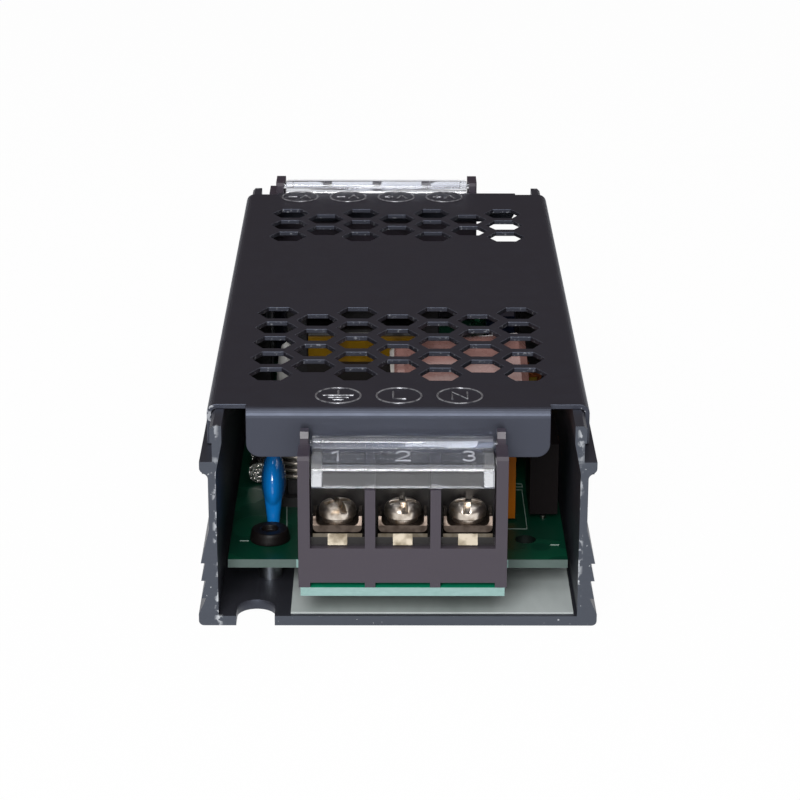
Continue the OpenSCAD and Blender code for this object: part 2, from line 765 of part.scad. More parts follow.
// Terminal block moulding: foot, floor, barriers, end walls and the ears that carry the hinge
module terminal_housing(poles, pitch, floor, hinge, lid_drop, ear_rise, rib) {
    half = (poles * pitch - barrier) / 2;
    outer = half + end_wall;
    barrier_top = hinge - max(lid_drop, lid_back_drop) - lid_step;
    lip_bottom = hinge - lid_lip_drop;
    end_top = hinge + end_wall_rise;
    ear_top = hinge + ear_rise;
    ear_root = hinge - ear_drop;
    ear_inset = (end_wall - ear_thickness) / 2;
    ear_slope = min(2 * ear_chamfer, (ear_rise - end_wall_rise) / 2);
    ledge_half = half + cut;
    ledge_top = floor + plate_ledge;
    foot_top = floor + block_foot_rise;
    walls = [for (i = [1:poles - 1]) pole_x(poles, pitch, i) + pitch / 2];
    difference() {
        union() {
            span([-outer, 0, foot_height], [outer, block_foot_depth, floor]);
            span([-outer, block_depth - cut, foot_height], [outer, block_foot_depth, foot_top]);
            span([-outer, bay_depth, foot_height], [outer, block_depth, barrier_top]);
            span([-ledge_half, plate_setback, floor - cut], [ledge_half, block_depth - cut, ledge_top]);
            for (side = [-1, 1])
                translate([side * (half + end_wall / 2), 0, 0])
                    along_x(end_wall)
                        polygon([
                            [0, 0],
                            [block_depth, 0],
                            [block_depth, ear_top - ear_chamfer],
                            [block_depth - ear_chamfer, ear_top],
                            [ear_setback + ear_chamfer, ear_top],
                            [ear_setback, ear_top - ear_slope],
                            [ear_setback, end_top],
                            [ear_chamfer, end_top],
                            [0, end_top - ear_chamfer]
                        ]);
            if (rib > 0)
                span(
                    [outer - cut, rib_setback, foot_height],
                    [outer + rib, block_depth - rib_setback, ear_root]
                );
            for (x = walls) {
                span([x - barrier / 2, 0, 0], [x + barrier / 2, bay_depth + cut, lip_bottom - lid_gap]);
                span([x - barrier / 2, lid_step, floor], [x + barrier / 2, bay_depth + cut, barrier_top]);
            }
        }
        for (i = [1:poles])
            translate([pole_x(poles, pitch, i), 0, 0]) {
                translate([0, screw_setback, foot_height])
                    cylinder(d = screw_thread + 2 * screw_gap, h = floor + plate_ledge);
                translate([0, post_setback, -cut])
                    cylinder(d = post_diameter + 2 * lead_gap, h = hinge);
                span(
                    [-post_diameter, bay_depth - cut, floor + plate_ledge],
                    [post_diameter, block_foot_depth + cut, floor + plate_top + lead_gap]
                );
            }
        for (x = [-outer - cut, -half - ear_inset, half - cut, outer - ear_inset])
            span([x, ear_setback, ear_root], [x + ear_inset + cut, block_depth + cut, ear_top + cut]);
        for (side = [-1, 1])
            translate([side * (half - cut), lid_hinge_y, hinge])
                rotate([0, side * 90, 0])
                    cylinder(r = lid_pin + lid_pin_gap, h = cut + lid_pin_length + lid_pin_end_gap);
    }
}

// Contact plates: a plate under each screw, a tab in front and a post down through the board
module terminal_tabs(poles, pitch, floor) {
    half = (pitch - barrier) / 2 - plate_gap;
    tab_gap = 0.1;
    tab_setback = 1.1;
    for (i = [1:poles])
        translate([pole_x(poles, pitch, i), 0, floor])
            difference() {
                union() {
                    span([-half, plate_setback, plate_ledge], [half, bay_depth - plate_gap, plate_top]);
                    along_x(tab_width)
                        polygon([
                            [plate_setback, plate_ledge],
                            [plate_setback, plate_top],
                            [tab_setback, tab_gap],
                            [plate_setback - tab_gap, tab_gap]
                        ]);
                    span(
                        [-post_diameter / 2, bay_depth - plate_gap - cut, plate_ledge],
                        [post_diameter / 2, post_setback, plate_top]
                    );
                    translate([0, post_setback, -floor - lead_depth])
                        cylinder(d = post_diameter, h = floor + lead_depth + plate_top);
                }
                translate([0, screw_setback, 0])
                    cylinder(d = screw_thread + 2 * screw_gap, h = 2 * plate_top);
            }
}

// Captive clamp: a plate with an upturned wing at each side, bent up on a radius
module clamp_washer(pitch) {
    half = (pitch - barrier) / 2 - clamp_gap;
    wing_inner = half - clamp_wing_thickness;
    bend = min(clamp_bend, wing_inner - washer_diameter / 2);
    wing_top = clamp_thickness + clamp_wing;
    lean = clamp_wing / 2;
    side_outline = concat(
        [[half, clamp_bend]],
        [[half, wing_top], [wing_inner, wing_top]],
        arc([wing_inner - bend, clamp_thickness + bend], bend, 0, -90)
    );
    foot = arc([half - clamp_bend, clamp_bend], clamp_bend, -90, 0);
    right = concat(foot, side_outline);
    intersection() {
        difference() {
            along_y(clamp_depth)
                polygon(concat(right, mirrored(right)));
            translate([0, 0, -cut])
                cylinder(d = screw_thread + 2 * screw_gap, h = clamp_thickness + 2 * cut);
        }
        along_x(2 * half + cut)
            polygon([
                [-clamp_depth / 2, -cut],
                [clamp_depth / 2, -cut],
                [clamp_depth / 2, clamp_thickness],
                [clamp_depth / 2 - lean, wing_top],
                [-clamp_depth / 2 + lean, wing_top],
                [-clamp_depth / 2, clamp_thickness]
            ]);
    }
}

// Pan-head screw with a washer under its head, a slot and a cross recess
module terminal_screw(angle) {
    slot_width = 1;
    slot_depth = screw_head_height * 0.5;
    cross_depth = screw_head_height * 0.7;
    cross_span = screw_head * 0.72;
    edge = screw_head_height * 0.5;
    rise = screw_head_height - edge;
    half = screw_head / 2;
    seat = half * 0.94;
    shoulder = half * 0.72;
    crown = half - shoulder;
    rotate([0, 0, angle])
        difference() {
            union() {
                translate([0, 0, -screw_length - clamp_thickness])
                    cylinder(d = screw_thread, h = screw_length + clamp_thickness + washer_thickness);
                cylinder(d = washer_diameter, h = washer_thickness);
                translate([0, 0, washer_thickness])
                    rotate_extrude()
                        polygon(concat(
                            [[0, 0], [seat, 0], [half, half - seat]],
                            [for (a = [0:15:90]) [crown + shoulder * cos(a), edge + rise * sin(a)]],
                            [[0, screw_head_height]]
                        ));
            }
            translate([0, 0, washer_thickness + screw_head_height]) {
                cube([screw_head + cut, slot_width, 2 * slot_depth], center = true);
                cube([slot_width, cross_span, 2 * cross_depth], center = true);
                cube([cross_span, slot_width, 2 * cross_depth], center = true);
            }
        }
}

// Clear cover: a sloped top, a front lip, closed ends, a barrel along the back and two pins
module terminal_cover(poles, pitch, hinge, lid_drop) {
    length = poles * pitch - barrier - 2 * lid_gap;
    front_top = hinge - lid_drop;
    back_top = hinge - lid_back_drop;
    lip_bottom = hinge - lid_lip_drop;
    front_arc = arc([lid_round, front_top - lid_round], lid_round, 180, 90);
    outline = concat(
        [[lid_thickness, lip_bottom], [0, lip_bottom]],
        front_arc,
        [[lid_hinge_y, back_top]]
    );
    along_x(length)
        polygon(concat(
            outline,
            [[lid_hinge_y, back_top - lid_thickness], [lid_thickness, front_top - lid_thickness]]
        ));
    for (side = [-1, 1])
        translate([side * (length - lid_end) / 2, 0, 0])
            along_x(lid_end)
                polygon(concat(outline, [[lid_hinge_y, back_top - lid_thickness]]));
    translate([0, lid_hinge_y, hinge])
        rotate([0, 90, 0]) {
            cylinder(r = lid_barrel, h = length, center = true);
            cylinder(r = lid_pin, h = length + 2 * lid_pin_length, center = true);
        }
}

module ac_terminal_housing() {
    color([0.32, 0.29, 0.32])
        at_front_block()
            terminal_housing(ac_poles, ac_pitch, ac_floor, ac_hinge, ac_lid_drop, ac_ear_rise, 0);
}

module dc_terminal_housing() {
    color([0.32, 0.29, 0.32])
        at_rear_block()
            terminal_housing(dc_poles, dc_pitch, dc_floor, dc_hinge, dc_lid_drop, dc_ear_rise, dc_side_rib);
}

module ac_terminal_tabs() {
    color([0.78, 0.75, 0.66])
        at_front_block()
            terminal_tabs(ac_poles, ac_pitch, ac_floor);
}

module dc_terminal_tabs() {
    color([0.78, 0.75, 0.66])
        at_rear_block()
            terminal_tabs(dc_poles, dc_pitch, dc_floor);
}

module ac_terminal_cover() {
    color([0.85, 0.88, 0.9, 0.4])
        at_front_block()
            terminal_cover(ac_poles, ac_pitch, ac_hinge, ac_lid_drop);
}

module dc_terminal_cover() {
    color([0.85, 0.88, 0.9, 0.4])
        at_rear_block()
            terminal_cover(dc_poles, dc_pitch, dc_hinge, dc_lid_drop);
}

module ac_clamp(i) {
    color([0.6, 0.57, 0.52])
        at_front_block()
            translate([pole_x(ac_poles, ac_pitch, i), screw_setback, ac_floor + clamp_height])
                clamp_washer(ac_pitch);
}

module dc_clamp(i) {
    color([0.6, 0.57, 0.52])
        at_rear_block()
            translate([pole_x(dc_poles, dc_pitch, i), screw_setback, dc_floor + clamp_height])
                clamp_washer(dc_pitch);
}

module ac_screw(i) {
    color([0.68, 0.65, 0.6])
        at_front_block()
            translate([pole_x(ac_poles, ac_pitch, i), screw_setback, ac_floor + screw_height])
                terminal_screw(screw_angles[i - 1]);
}

module dc_screw(i) {
    color([0.68, 0.65, 0.6])
        at_rear_block()
            translate([pole_x(dc_poles, dc_pitch, i), screw_setback, dc_floor + screw_height])
                terminal_screw(screw_angles[i - 1]);
}

// A coated disc standing on its two leads: thickest in the middle, and its coating runs down the leads
module coated_disc(diameter, thickness, places) {
    centre_z = disc_lift + diameter / 2;
    leg_bottom = 0.4;
    leg_top = disc_lift + diameter * 0.4;
    translate([0, 0, centre_z])
        rotate([0, 90, 0])
            rotate_extrude()
                polygon([for (a = [-90:15:90]) [diameter * cos(a), thickness * sin(a)] / 2]);
    for (p = places)
        translate([p.x, p.y, leg_bottom])
            cylinder(d1 = disc_leg, d2 = thickness * 0.8, h = leg_top - leg_bottom);
    leads(places, centre_z);
}

module safety_capacitor() {
    color([0.06, 0.42, 0.74])
        on_board(disc_at)
            coated_disc(disc_diameter, disc_thickness, disc_leads);
}

module varistor() {
    color([0.08, 0.3, 0.6])
        on_board(varistor_at)
            rotate([0, 0, 90])
                coated_disc(disc_diameter, disc_thickness, disc_leads);
}

module thermistor() {
    color([0.1, 0.13, 0.1])
        on_board(thermistor_at)
            rotate([0, 0, 90])
                coated_disc(disc_diameter, disc_thickness, disc_leads);
}

module line_capacitor() {
    lift = 0.4;
    color([0.72, 0.42, 0.08])
        on_board(line_cap_at) {
            span(
                [-line_cap_length / 2, -line_cap_depth / 2, lift],
                [line_cap_length / 2, line_cap_depth / 2, lift + line_cap_height]
            );
            leads(line_cap_leads, line_cap_height / 2);
        }
}

// The fuse lies along Y on its two leads
fuse_lift = 0.3;
fuse_height = fuse_diameter / 2 + fuse_lift;

module fuse_tube() {
    wall = 0.4;
    color([0.85, 0.9, 0.9, 0.5])
        on_board(fuse_at)
            translate([0, 0, fuse_height])
                rotate([90, 0, 0])
                    difference() {
                        cylinder(d = fuse_diameter - 2 * wall, h = fuse_length - 2 * wall, center = true);
                        cylinder(d = fuse_diameter - 4 * wall, h = fuse_length, center = true);
                    }
}

module fuse_caps() {
    wall = 0.4;
    color([0.82, 0.82, 0.8])
        on_board(fuse_at)
            for (side = [-1, 1])
                difference() {
                    union() {
                        translate([0, side * (fuse_length - fuse_cap_length) / 2, fuse_height])
                            rotate([90, 0, 0])
                                cylinder(d = fuse_diameter, h = fuse_cap_length, center = true);
                        leads([fuse_leads[(side + 1) / 2]], fuse_height - fuse_diameter / 4 - wall);
                    }
                    translate([0, side * (fuse_length / 2 - wall - fuse_cap_length), fuse_height])
                        rotate([90, 0, 0])
                            cylinder(d = fuse_diameter - 2 * wall, h = 2 * fuse_cap_length, center = true);
                }
}

// Line choke: a ring-shaped core standing on a base, with a winding on each upright limb
choke_limb = 3;
choke_coil = 4.8;
choke_margin = [1, 2];

module choke_base() {
    color([0.08, 0.08, 0.08])
        on_board(choke_at) {
            span(
                [-choke_width / 2 - choke_margin.x, -choke_depth / 2 - choke_margin.y, 0],
                [choke_width / 2 + choke_margin.x, choke_depth / 2 + choke_margin.y, choke_base_thickness]
            );
            leads(choke_leads, choke_base_thickness / 2);
        }
}

module choke_core() {
    color([0.2, 0.2, 0.21])
        on_board(choke_at)
            translate([0, 0, choke_base_thickness])
                difference() {
                    translate([-choke_width / 2, -choke_depth / 2, 0])
                        cube([choke_width, choke_depth, choke_height]);
                    span(
                        [choke_limb - choke_width / 2, -choke_depth, choke_limb],
                        [choke_width / 2 - choke_limb, choke_depth, choke_height - choke_limb]
                    );
                }
}

module choke_windings() {
    gap = 0.1;
    turns = 6;
    bare = choke_height - 2 * choke_limb - 2 * gap;
    wire = bare / turns;
    radius = (choke_coil + choke_limb) / 2;
    groove = wire * 0.2;
    low = choke_base_thickness + choke_limb + gap;
    color([0.25, 0.12, 0.06])
        on_board(choke_at)
            for (side = [-1, 1])
                translate([side * (choke_width - choke_limb) / 2, 0, low])
                    difference() {
                        rotate_extrude()
                            polygon(concat(
                                [[0, 0]],
                                [
                                    for (i = [0:turns - 1])
                                        each [
                                            [radius - groove, i * wire],
                                            [radius, i * wire + groove],
                                            [radius, (i + 1) * wire - groove]
                                        ]
                                ],
                                [[radius - groove, bare], [0, bare]]
                            ));
                        span(
                            [-choke_limb / 2 - gap, -choke_depth / 2 - gap, -cut],
                            [choke_limb / 2 + gap, choke_depth / 2 + gap, bare + cut]
                        );
                    }
}

module bridge_rectifier() {
    lift = 1.1;
    color([0.07, 0.07, 0.07])
        on_board(bridge_at) {
            span(
                [-bridge_thickness / 2, -bridge_length / 2, lift],
                [bridge_thickness / 2, bridge_length / 2, lift + bridge_height]
            );
            leads(bridge_leads, bridge_height / 2);
        }
}

// The bulk capacitor lies along X with its right end raised, and its leads are bent down at the left
module bulk_capacitor() {
    lift = 0.6;
    lead_z = bulk_diameter / 2 + lift;
    axis_z = lead_z + sin(bulk_tilt) * bulk_length / 2;
    rim = 1.2;
    groove = 0.5;
    color([0.62, 0.45, 0.42])
        on_board(bulk_at) {
            translate([0, 0, axis_z])
                rotate([0, 90 - bulk_tilt, 0])
                    rotate_extrude()
                        polygon([
                            [0, -bulk_length / 2],
                            [bulk_diameter / 2 - rim, -bulk_length / 2],
                            [bulk_diameter / 2, rim - bulk_length / 2],
                            [bulk_diameter / 2, 2 * rim - bulk_length / 2],
                            [bulk_diameter / 2 - groove, 3 * rim - bulk_length / 2],
                            [bulk_diameter / 2, 4 * rim - bulk_length / 2],
                            [bulk_diameter / 2, bulk_length / 2 - rim],
                            [bulk_diameter / 2 - rim, bulk_length / 2],
                            [0, bulk_length / 2]
                        ]);
            leads(bulk_leads, lead_z);
            for (p = bulk_leads)
                translate([p.x - lead_diameter / 2, p.y, lead_z])
                    rotate([0, 90, 0])
                        cylinder(d = lead_diameter, h = bulk_length / 4);
        }
}

// Transformer: an upright core on a bobbin foot, with the taped winding bulging out of its window
core_limb = 3.8;
core_rail = 3;
core_lift = bobbin_foot + core_gap;
core_top = core_lift + core_height;
core_window = core_width - 2 * core_limb;

module transformer_core() {
    color([0.16, 0.16, 0.17])
        on_board(transformer_at)
            difference() {
                span(
                    [-core_width / 2, -core_depth / 2, core_lift],
                    [core_width / 2, core_depth / 2, core_top]
                );
                span(
                    [-core_window / 2, -core_depth, core_lift + core_rail],
                    [core_window / 2, core_depth, core_top - core_rail]
                );
            }
}

module transformer_bobbin() {
    half = winding_depth / 2 + bobbin_reach;
    near = winding_depth / 2 + core_gap;
    skirt_top = core_lift + core_height * 0.55;
    color([0.07, 0.07, 0.08])
        on_board(transformer_at) {
            span([-core_window / 2, -half, 0], [core_window / 2, half, bobbin_foot]);
            for (side = [-1, 1])
                span(
                    [-core_window / 2, min(side * half, side * near), bobbin_foot - cut],
                    [core_window / 2, max(side * half, side * near), skirt_top]
                );
            leads(bobbin_leads, bobbin_foot / 2);
        }
}

module transformer_winding() {
    low = core_lift + core_rail + core_gap;
    high = core_top - core_rail - core_gap;
    round = 2;
    across = winding_depth / 2 - round;
    color([0.62, 0.5, 0.02])
        on_board(transformer_at)
            along_x(core_window - 2 * core_gap)
                polygon(concat(
                    arc([across, low + round], round, -90, 0),
                    arc([across, high - round], round, 0, 90),
                    arc([-across, high - round], round, 90, 180),
                    arc([-across, low + round], round, 180, 270)
                ));
}

// Power device standing with its back to the right wall; the left one is turned round
module power_device() {
    back = device_back - device_lead_x;
    top = device_lift + device_height;
    difference() {
        union() {
            span(
                [back - device_depth, -device_width / 2, device_lift],
                [back - device_tab / 2, device_width / 2, top - device_tab_height]
            );
            span([back - device_tab, -device_width / 2, device_lift], [back, device_width / 2, top]);
            leads(device_leads, device_lift + device_height / 4);
        }
        translate([back + cut, 0, top - device_tab_height / 2])
            rotate([0, -90, 0])
                cylinder(d = device_hole, h = device_tab + 2 * cut);
    }
}

// Pad between a device and the wall
pad_margin = 0.8;
pad_top = device_lift + device_height + pad_margin;

module device_pad() {
    span(
        [device_back - device_lead_x, -device_width / 2 - pad_margin, device_lift - pad_margin],
        [wall_inner - device_lead_x, device_width / 2 + pad_margin, pad_top]
    );
}

// Spring strip: it starts under the wall's leaning head and bears on the device's face
module device_clip() {
    strip = 0.5;
    strip_width = device_width * 0.6;
    gap = 0.05;
    low = pad_top + gap;
    bear = device_lift + device_height / 3;
    face = device_back - device_lead_x - device_depth - gap;
    foot = wall_inner - device_lead_x - strip;
    along_y(strip_width)
        polygon([
            [foot, low],
            [foot, low + strip],
            [face - strip, low + strip],
            [face - strip, bear],
            [face, bear],
            [face, low]
        ]);
}

module at_switch() {
    on_board(switch_at)
        rotate([0, 0, 180])
            children();
}

module at_rectifier() {
    on_board(rectifier_at)
        children();
}

module switch_transistor() {
    color([0.09, 0.09, 0.1])
        at_switch()
            power_device();
}

module switch_pad() {
    color([0.75, 0.72, 0.68])
        at_switch()
            device_pad();
}

module switch_clip() {
    color([0.7, 0.7, 0.72])
        at_switch()
            device_clip();
}

module output_rectifier() {
    color([0.09, 0.09, 0.1])
        at_rectifier()
            power_device();
}

module rectifier_pad() {
    color([0.75, 0.72, 0.68])
        at_rectifier()
            device_pad();
}

module rectifier_clip() {
    color([0.7, 0.7, 0.72])
        at_rectifier()
            device_clip();
}

// Output choke: a ring core lying flat, with turns of heavy wire round it
toroid_lift = toroid_wire + 0.3;

module output_choke_core() {
    color([0.75, 0.7, 0.2])
        on_board(toroid_at)
            translate([0, 0, toroid_lift])
                difference() {
                    cylinder(d = toroid_diameter, h = toroid_height);
                    translate([0, 0, -cut])
                        cylinder(d = toroid_bore, h = toroid_height + 2 * cut);
                }
}

module output_choke_winding() {
    gap = 0.05;
    inner = toroid_bore / 2 - toroid_wire - gap;
    outer = toroid_diameter / 2 + toroid_wire + gap;
    low = -toroid_wire - gap;
    high = toroid_height + toroid_wire + gap;
    bridge_outer = inner + toroid_wire * 0.8;
    bridge_inner = inner + toroid_wire * 0.3;
    color([0.7, 0.33, 0.12])
        on_board(toroid_at) {
            translate([0, 0, toroid_lift]) {
                difference() {
                    translate([0, 0, low + toroid_wire])
                        cylinder(r = bridge_outer, h = high - low - 2 * toroid_wire);
                    translate([0, 0, low])
                        cylinder(r = bridge_inner, h = high - low);
                }
                for (i = [0:toroid_turns - 1])
                    rotate([0, 0, i * toroid_step])
                        difference() {
                            span([inner, -toroid_wire / 2, low], [outer, toroid_wire / 2, high]);
                            span(
                                [inner + toroid_wire, -toroid_wire, -gap],
                                [outer - toroid_wire, toroid_wire, toroid_height + gap]
                            );
                        }
            }
            leads(toroid_leads, toroid_lift + toroid_height / 2);
        }
}

module output_capacitor(i) {
    rim = 0.6;
    lift = 0.2;
    radius = out_cap_diameter / 2;
    color([0.12, 0.13, 0.2])
        on_board(out_cap_at + [(i - 2) * out_cap_pitch, 0]) {
            translate([0, 0, lift])
                rotate_extrude()
                    polygon([
                        [0, 0],
                        [radius - rim, 0],
                        [radius, rim],
                        [radius, 2 * rim],
                        [radius - rim / 2, 3 * rim],
                        [radius, 4 * rim],
                        [radius, out_cap_height - rim],
                        [radius - rim, out_cap_height],
                        [0, out_cap_height]
                    ]);
            leads(can_leads, out_cap_height / 2);
        }
}

// Moulded chip with two rows of leads that come out at mid height and turn down
module chip(length, places) {
    width = 6.4;
    height = 3.4;
    lift = 0.5;
    span([-width / 2, -length / 2, lift], [width / 2, length / 2, lift + height]);
    leads(places, lift + height / 2);
    for (p = places)
        translate([p.x / 2, p.y, lift + height / 2])
            cube([abs(p.x) + lead_diameter / 2, lead_diameter, lead_diameter / 2], center = true);
}

module control_chip() {
    color([0.07, 0.07, 0.08])
        on_board(chip_at)
            chip(chip_length, chip_leads);
}

module optocoupler() {
    color([0.85, 0.85, 0.82])
        on_board(opto_at)
            chip(opto_length, opto_leads);
}

module resistors() {
    axis_z = resistor_body / 2 + resistor_lift;
    color([0.35, 0.6, 0.7])
        on_board(resistors_at) {
            for (i = [0:resistor_count - 1])
                translate([0, i * resistor_pitch, axis_z])
                    rotate([0, 90, 0]) {
                        cylinder(d = resistor_body, h = resistor_length, center = true);
                        cylinder(d = lead_diameter, h = 2 * resistor_reach + lead_diameter, center = true);
                    }
            leads(resistor_leads, axis_z);
        }
}

module indicator_lamp() {
    radius = 1.5;
    flange = 1.9;
    flange_height = 1;
    lift = 2;
    barrel = 3;
    color([0.2, 0.75, 0.3])
        on_board(lamp_at) {
            translate([0, 0, lift])
                rotate_extrude()
                    polygon(concat(
                        [[0, 0], [flange, 0], [flange, flange_height], [radius, flange_height]],
                        arc([0, barrel], radius, 0, 90)
                    ));
            leads(lamp_leads, lift + flange_height / 2);
        }
}

// Trimmer: a box whose slotted rotor faces the output end
trimmer_height = 7;
trimmer_depth = 4.6;
rotor_depth = 1;
rotor_gap = 0.15;
rotor_axis = 3.8;

module trimmer_body() {
    lift = 0.3;
    color([0.1, 0.22, 0.5])
        on_board(trimmer_at)
            difference() {
                union() {
                    span(
                        [-trimmer_width / 2, -trimmer_depth / 2, lift],
                        [trimmer_width / 2, trimmer_depth / 2, trimmer_height]
                    );
                    leads(trimmer_leads, trimmer_height / 4);
                }
                translate([0, trimmer_depth / 2 + cut, rotor_axis])
                    rotate([90, 0, 0])
                        cylinder(d = rotor_diameter + 2 * rotor_gap, h = rotor_depth + cut + rotor_gap);
            }
}

module trimmer_rotor() {
    slot = 0.8;
    slot_span = rotor_diameter * 0.7;
    color([0.9, 0.88, 0.8])
        on_board(trimmer_at)
            translate([0, trimmer_depth / 2, rotor_axis])
                rotate([90, 0, 0])
                    difference() {
                        cylinder(d = rotor_diameter, h = rotor_depth);
                        for (turn = [0, 90])
                            rotate([0, 0, turn])
                                cube([slot_span, slot, rotor_depth], center = true);
                    }
}

chassis();
top_cover();
insulating_sheet();
circuit_board();
board_standoffs();
board_rivets();
ac_terminal_housing();
ac_terminal_tabs();
ac_terminal_cover();
ac_clamp(1);  // ac_clamp_1
ac_clamp(2);  // ac_clamp_2
ac_clamp(3);  // ac_clamp_3
ac_screw(1);  // ac_screw_1
ac_screw(2);  // ac_screw_2
ac_screw(3);  // ac_screw_3
dc_terminal_housing();
dc_terminal_tabs();
dc_terminal_cover();
dc_clamp(1);  // dc_clamp_1
dc_clamp(2);  // dc_clamp_2
dc_clamp(3);  // dc_clamp_3
dc_clamp(4);  // dc_clamp_4
dc_screw(1);  // dc_screw_1
dc_screw(2);  // dc_screw_2
dc_screw(3);  // dc_screw_3
dc_screw(4);  // dc_screw_4
safety_capacitor();
line_capacitor();
varistor();
thermistor();
fuse_tube();
fuse_caps();
choke_base();
choke_core();
choke_windings();
bridge_rectifier();
bulk_capacitor();
transformer_core();
transformer_bobbin();
transformer_winding();
switch_transistor();
switch_pad();
switch_clip();
output_rectifier();
rectifier_pad();
rectifier_clip();
output_choke_core();
output_choke_winding();
output_capacitor(1);  // output_capacitor_1
output_capacitor(2);  // output_capacitor_2
output_capacitor(3);  // output_capacitor_3
control_chip();
optocoupler();
resistors();
indicator_lamp();
trimmer_body();
trimmer_rotor();
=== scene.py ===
"""Looks of the enclosed power supply: a finish for every CAD node, and the small pieces on them.

Places are in metres in the CAD's own frame: X to the right seen from the mains end, Y from the
mains end to the output end, Z up, with the origin in the middle of the chassis underside. Sizes in
fields and arguments are in millimetres, unless they say otherwise.
"""

import logging
import math
from dataclasses import dataclass, replace
from enum import Enum
from typing import Iterable, Mapping, Sequence

import bmesh
import bpy
from mathutils import Matrix, Vector


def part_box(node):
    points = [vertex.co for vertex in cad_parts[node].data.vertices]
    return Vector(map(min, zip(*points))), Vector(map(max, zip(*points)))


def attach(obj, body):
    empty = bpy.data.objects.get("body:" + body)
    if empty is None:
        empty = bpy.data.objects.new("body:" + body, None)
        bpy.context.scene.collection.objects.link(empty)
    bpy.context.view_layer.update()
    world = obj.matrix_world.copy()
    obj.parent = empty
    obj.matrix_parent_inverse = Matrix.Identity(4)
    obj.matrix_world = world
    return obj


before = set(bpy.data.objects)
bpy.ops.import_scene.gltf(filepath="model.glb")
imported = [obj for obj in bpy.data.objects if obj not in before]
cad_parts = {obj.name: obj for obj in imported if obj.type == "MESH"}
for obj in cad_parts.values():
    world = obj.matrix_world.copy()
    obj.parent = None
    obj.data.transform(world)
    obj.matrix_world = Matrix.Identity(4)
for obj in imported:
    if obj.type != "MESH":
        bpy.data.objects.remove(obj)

LOG = logging.getLogger("power_supply")
MM = 0.001
ROOT = "supply"
DC_RIB = 1.3
COOL = (0.68, 0.77, 1.0, 1.0)
RIGHT = Vector((1, 0, 0))

Point = tuple[float, float]
Triple = tuple[float, float, float]
Quad = tuple[float, float, float, float]
Colour = Triple
Light = Quad
Stroke = tuple[list[Vector], bool]
Material = bpy.types.Material
Socket = bpy.types.NodeSocket
Value = Socket | float | Sequence[float] | None


def linear(colour: Colour, share: float = 1.0) -> Light:
    """Turns a display colour of 0 to 255 into the linear colour that shaders take.

    Args:
        colour: Red, green and blue as they show on a screen.
        share: How much of its light is kept.

    Returns:
        The colour in linear light, with full alpha.
    """
    lights = []
    for value in colour:
        shown = value / 255.0
        light = shown / 12.92 if shown <= 0.04045 else ((shown + 0.055) / 1.055) ** 2.4
        lights.append(min(1.0, light * share))
    return (*lights, 1.0)


class Axis(Enum):
    """An axis of the CAD frame."""

    X = 0
    Y = 1
    Z = 2


@dataclass(frozen=True)
class Box:
    """A box in the CAD frame, in metres."""

    low: Vector
    high: Vector

    @classmethod
    def of_node(cls, node: str) -> "Box":
        """The box of a CAD node at rest."""
        return cls(*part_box(node))

    @classmethod
    def above(cls, node: str, level: float) -> "Box":
        """The part of a node's box that stands above a level in metres."""
        box = cls.of_node(node)
        return cls(Vector((box.low.x, box.low.y, level)), box.high)

    @property
    def centre(self) -> Vector:
        """The box's middle."""
        return (self.low + self.high) / 2

    @property
    def size(self) -> Vector:
        """The box's three sides."""
        return self.high - self.low

    def trimmed(self, low: Sequence[float], high: Sequence[float] | None = None) -> "Box":
        """Takes a layer off the low faces and off the high ones, by default an equal one."""
        return Box(self.low + Vector(low) * MM, self.high - Vector(high or low) * MM)


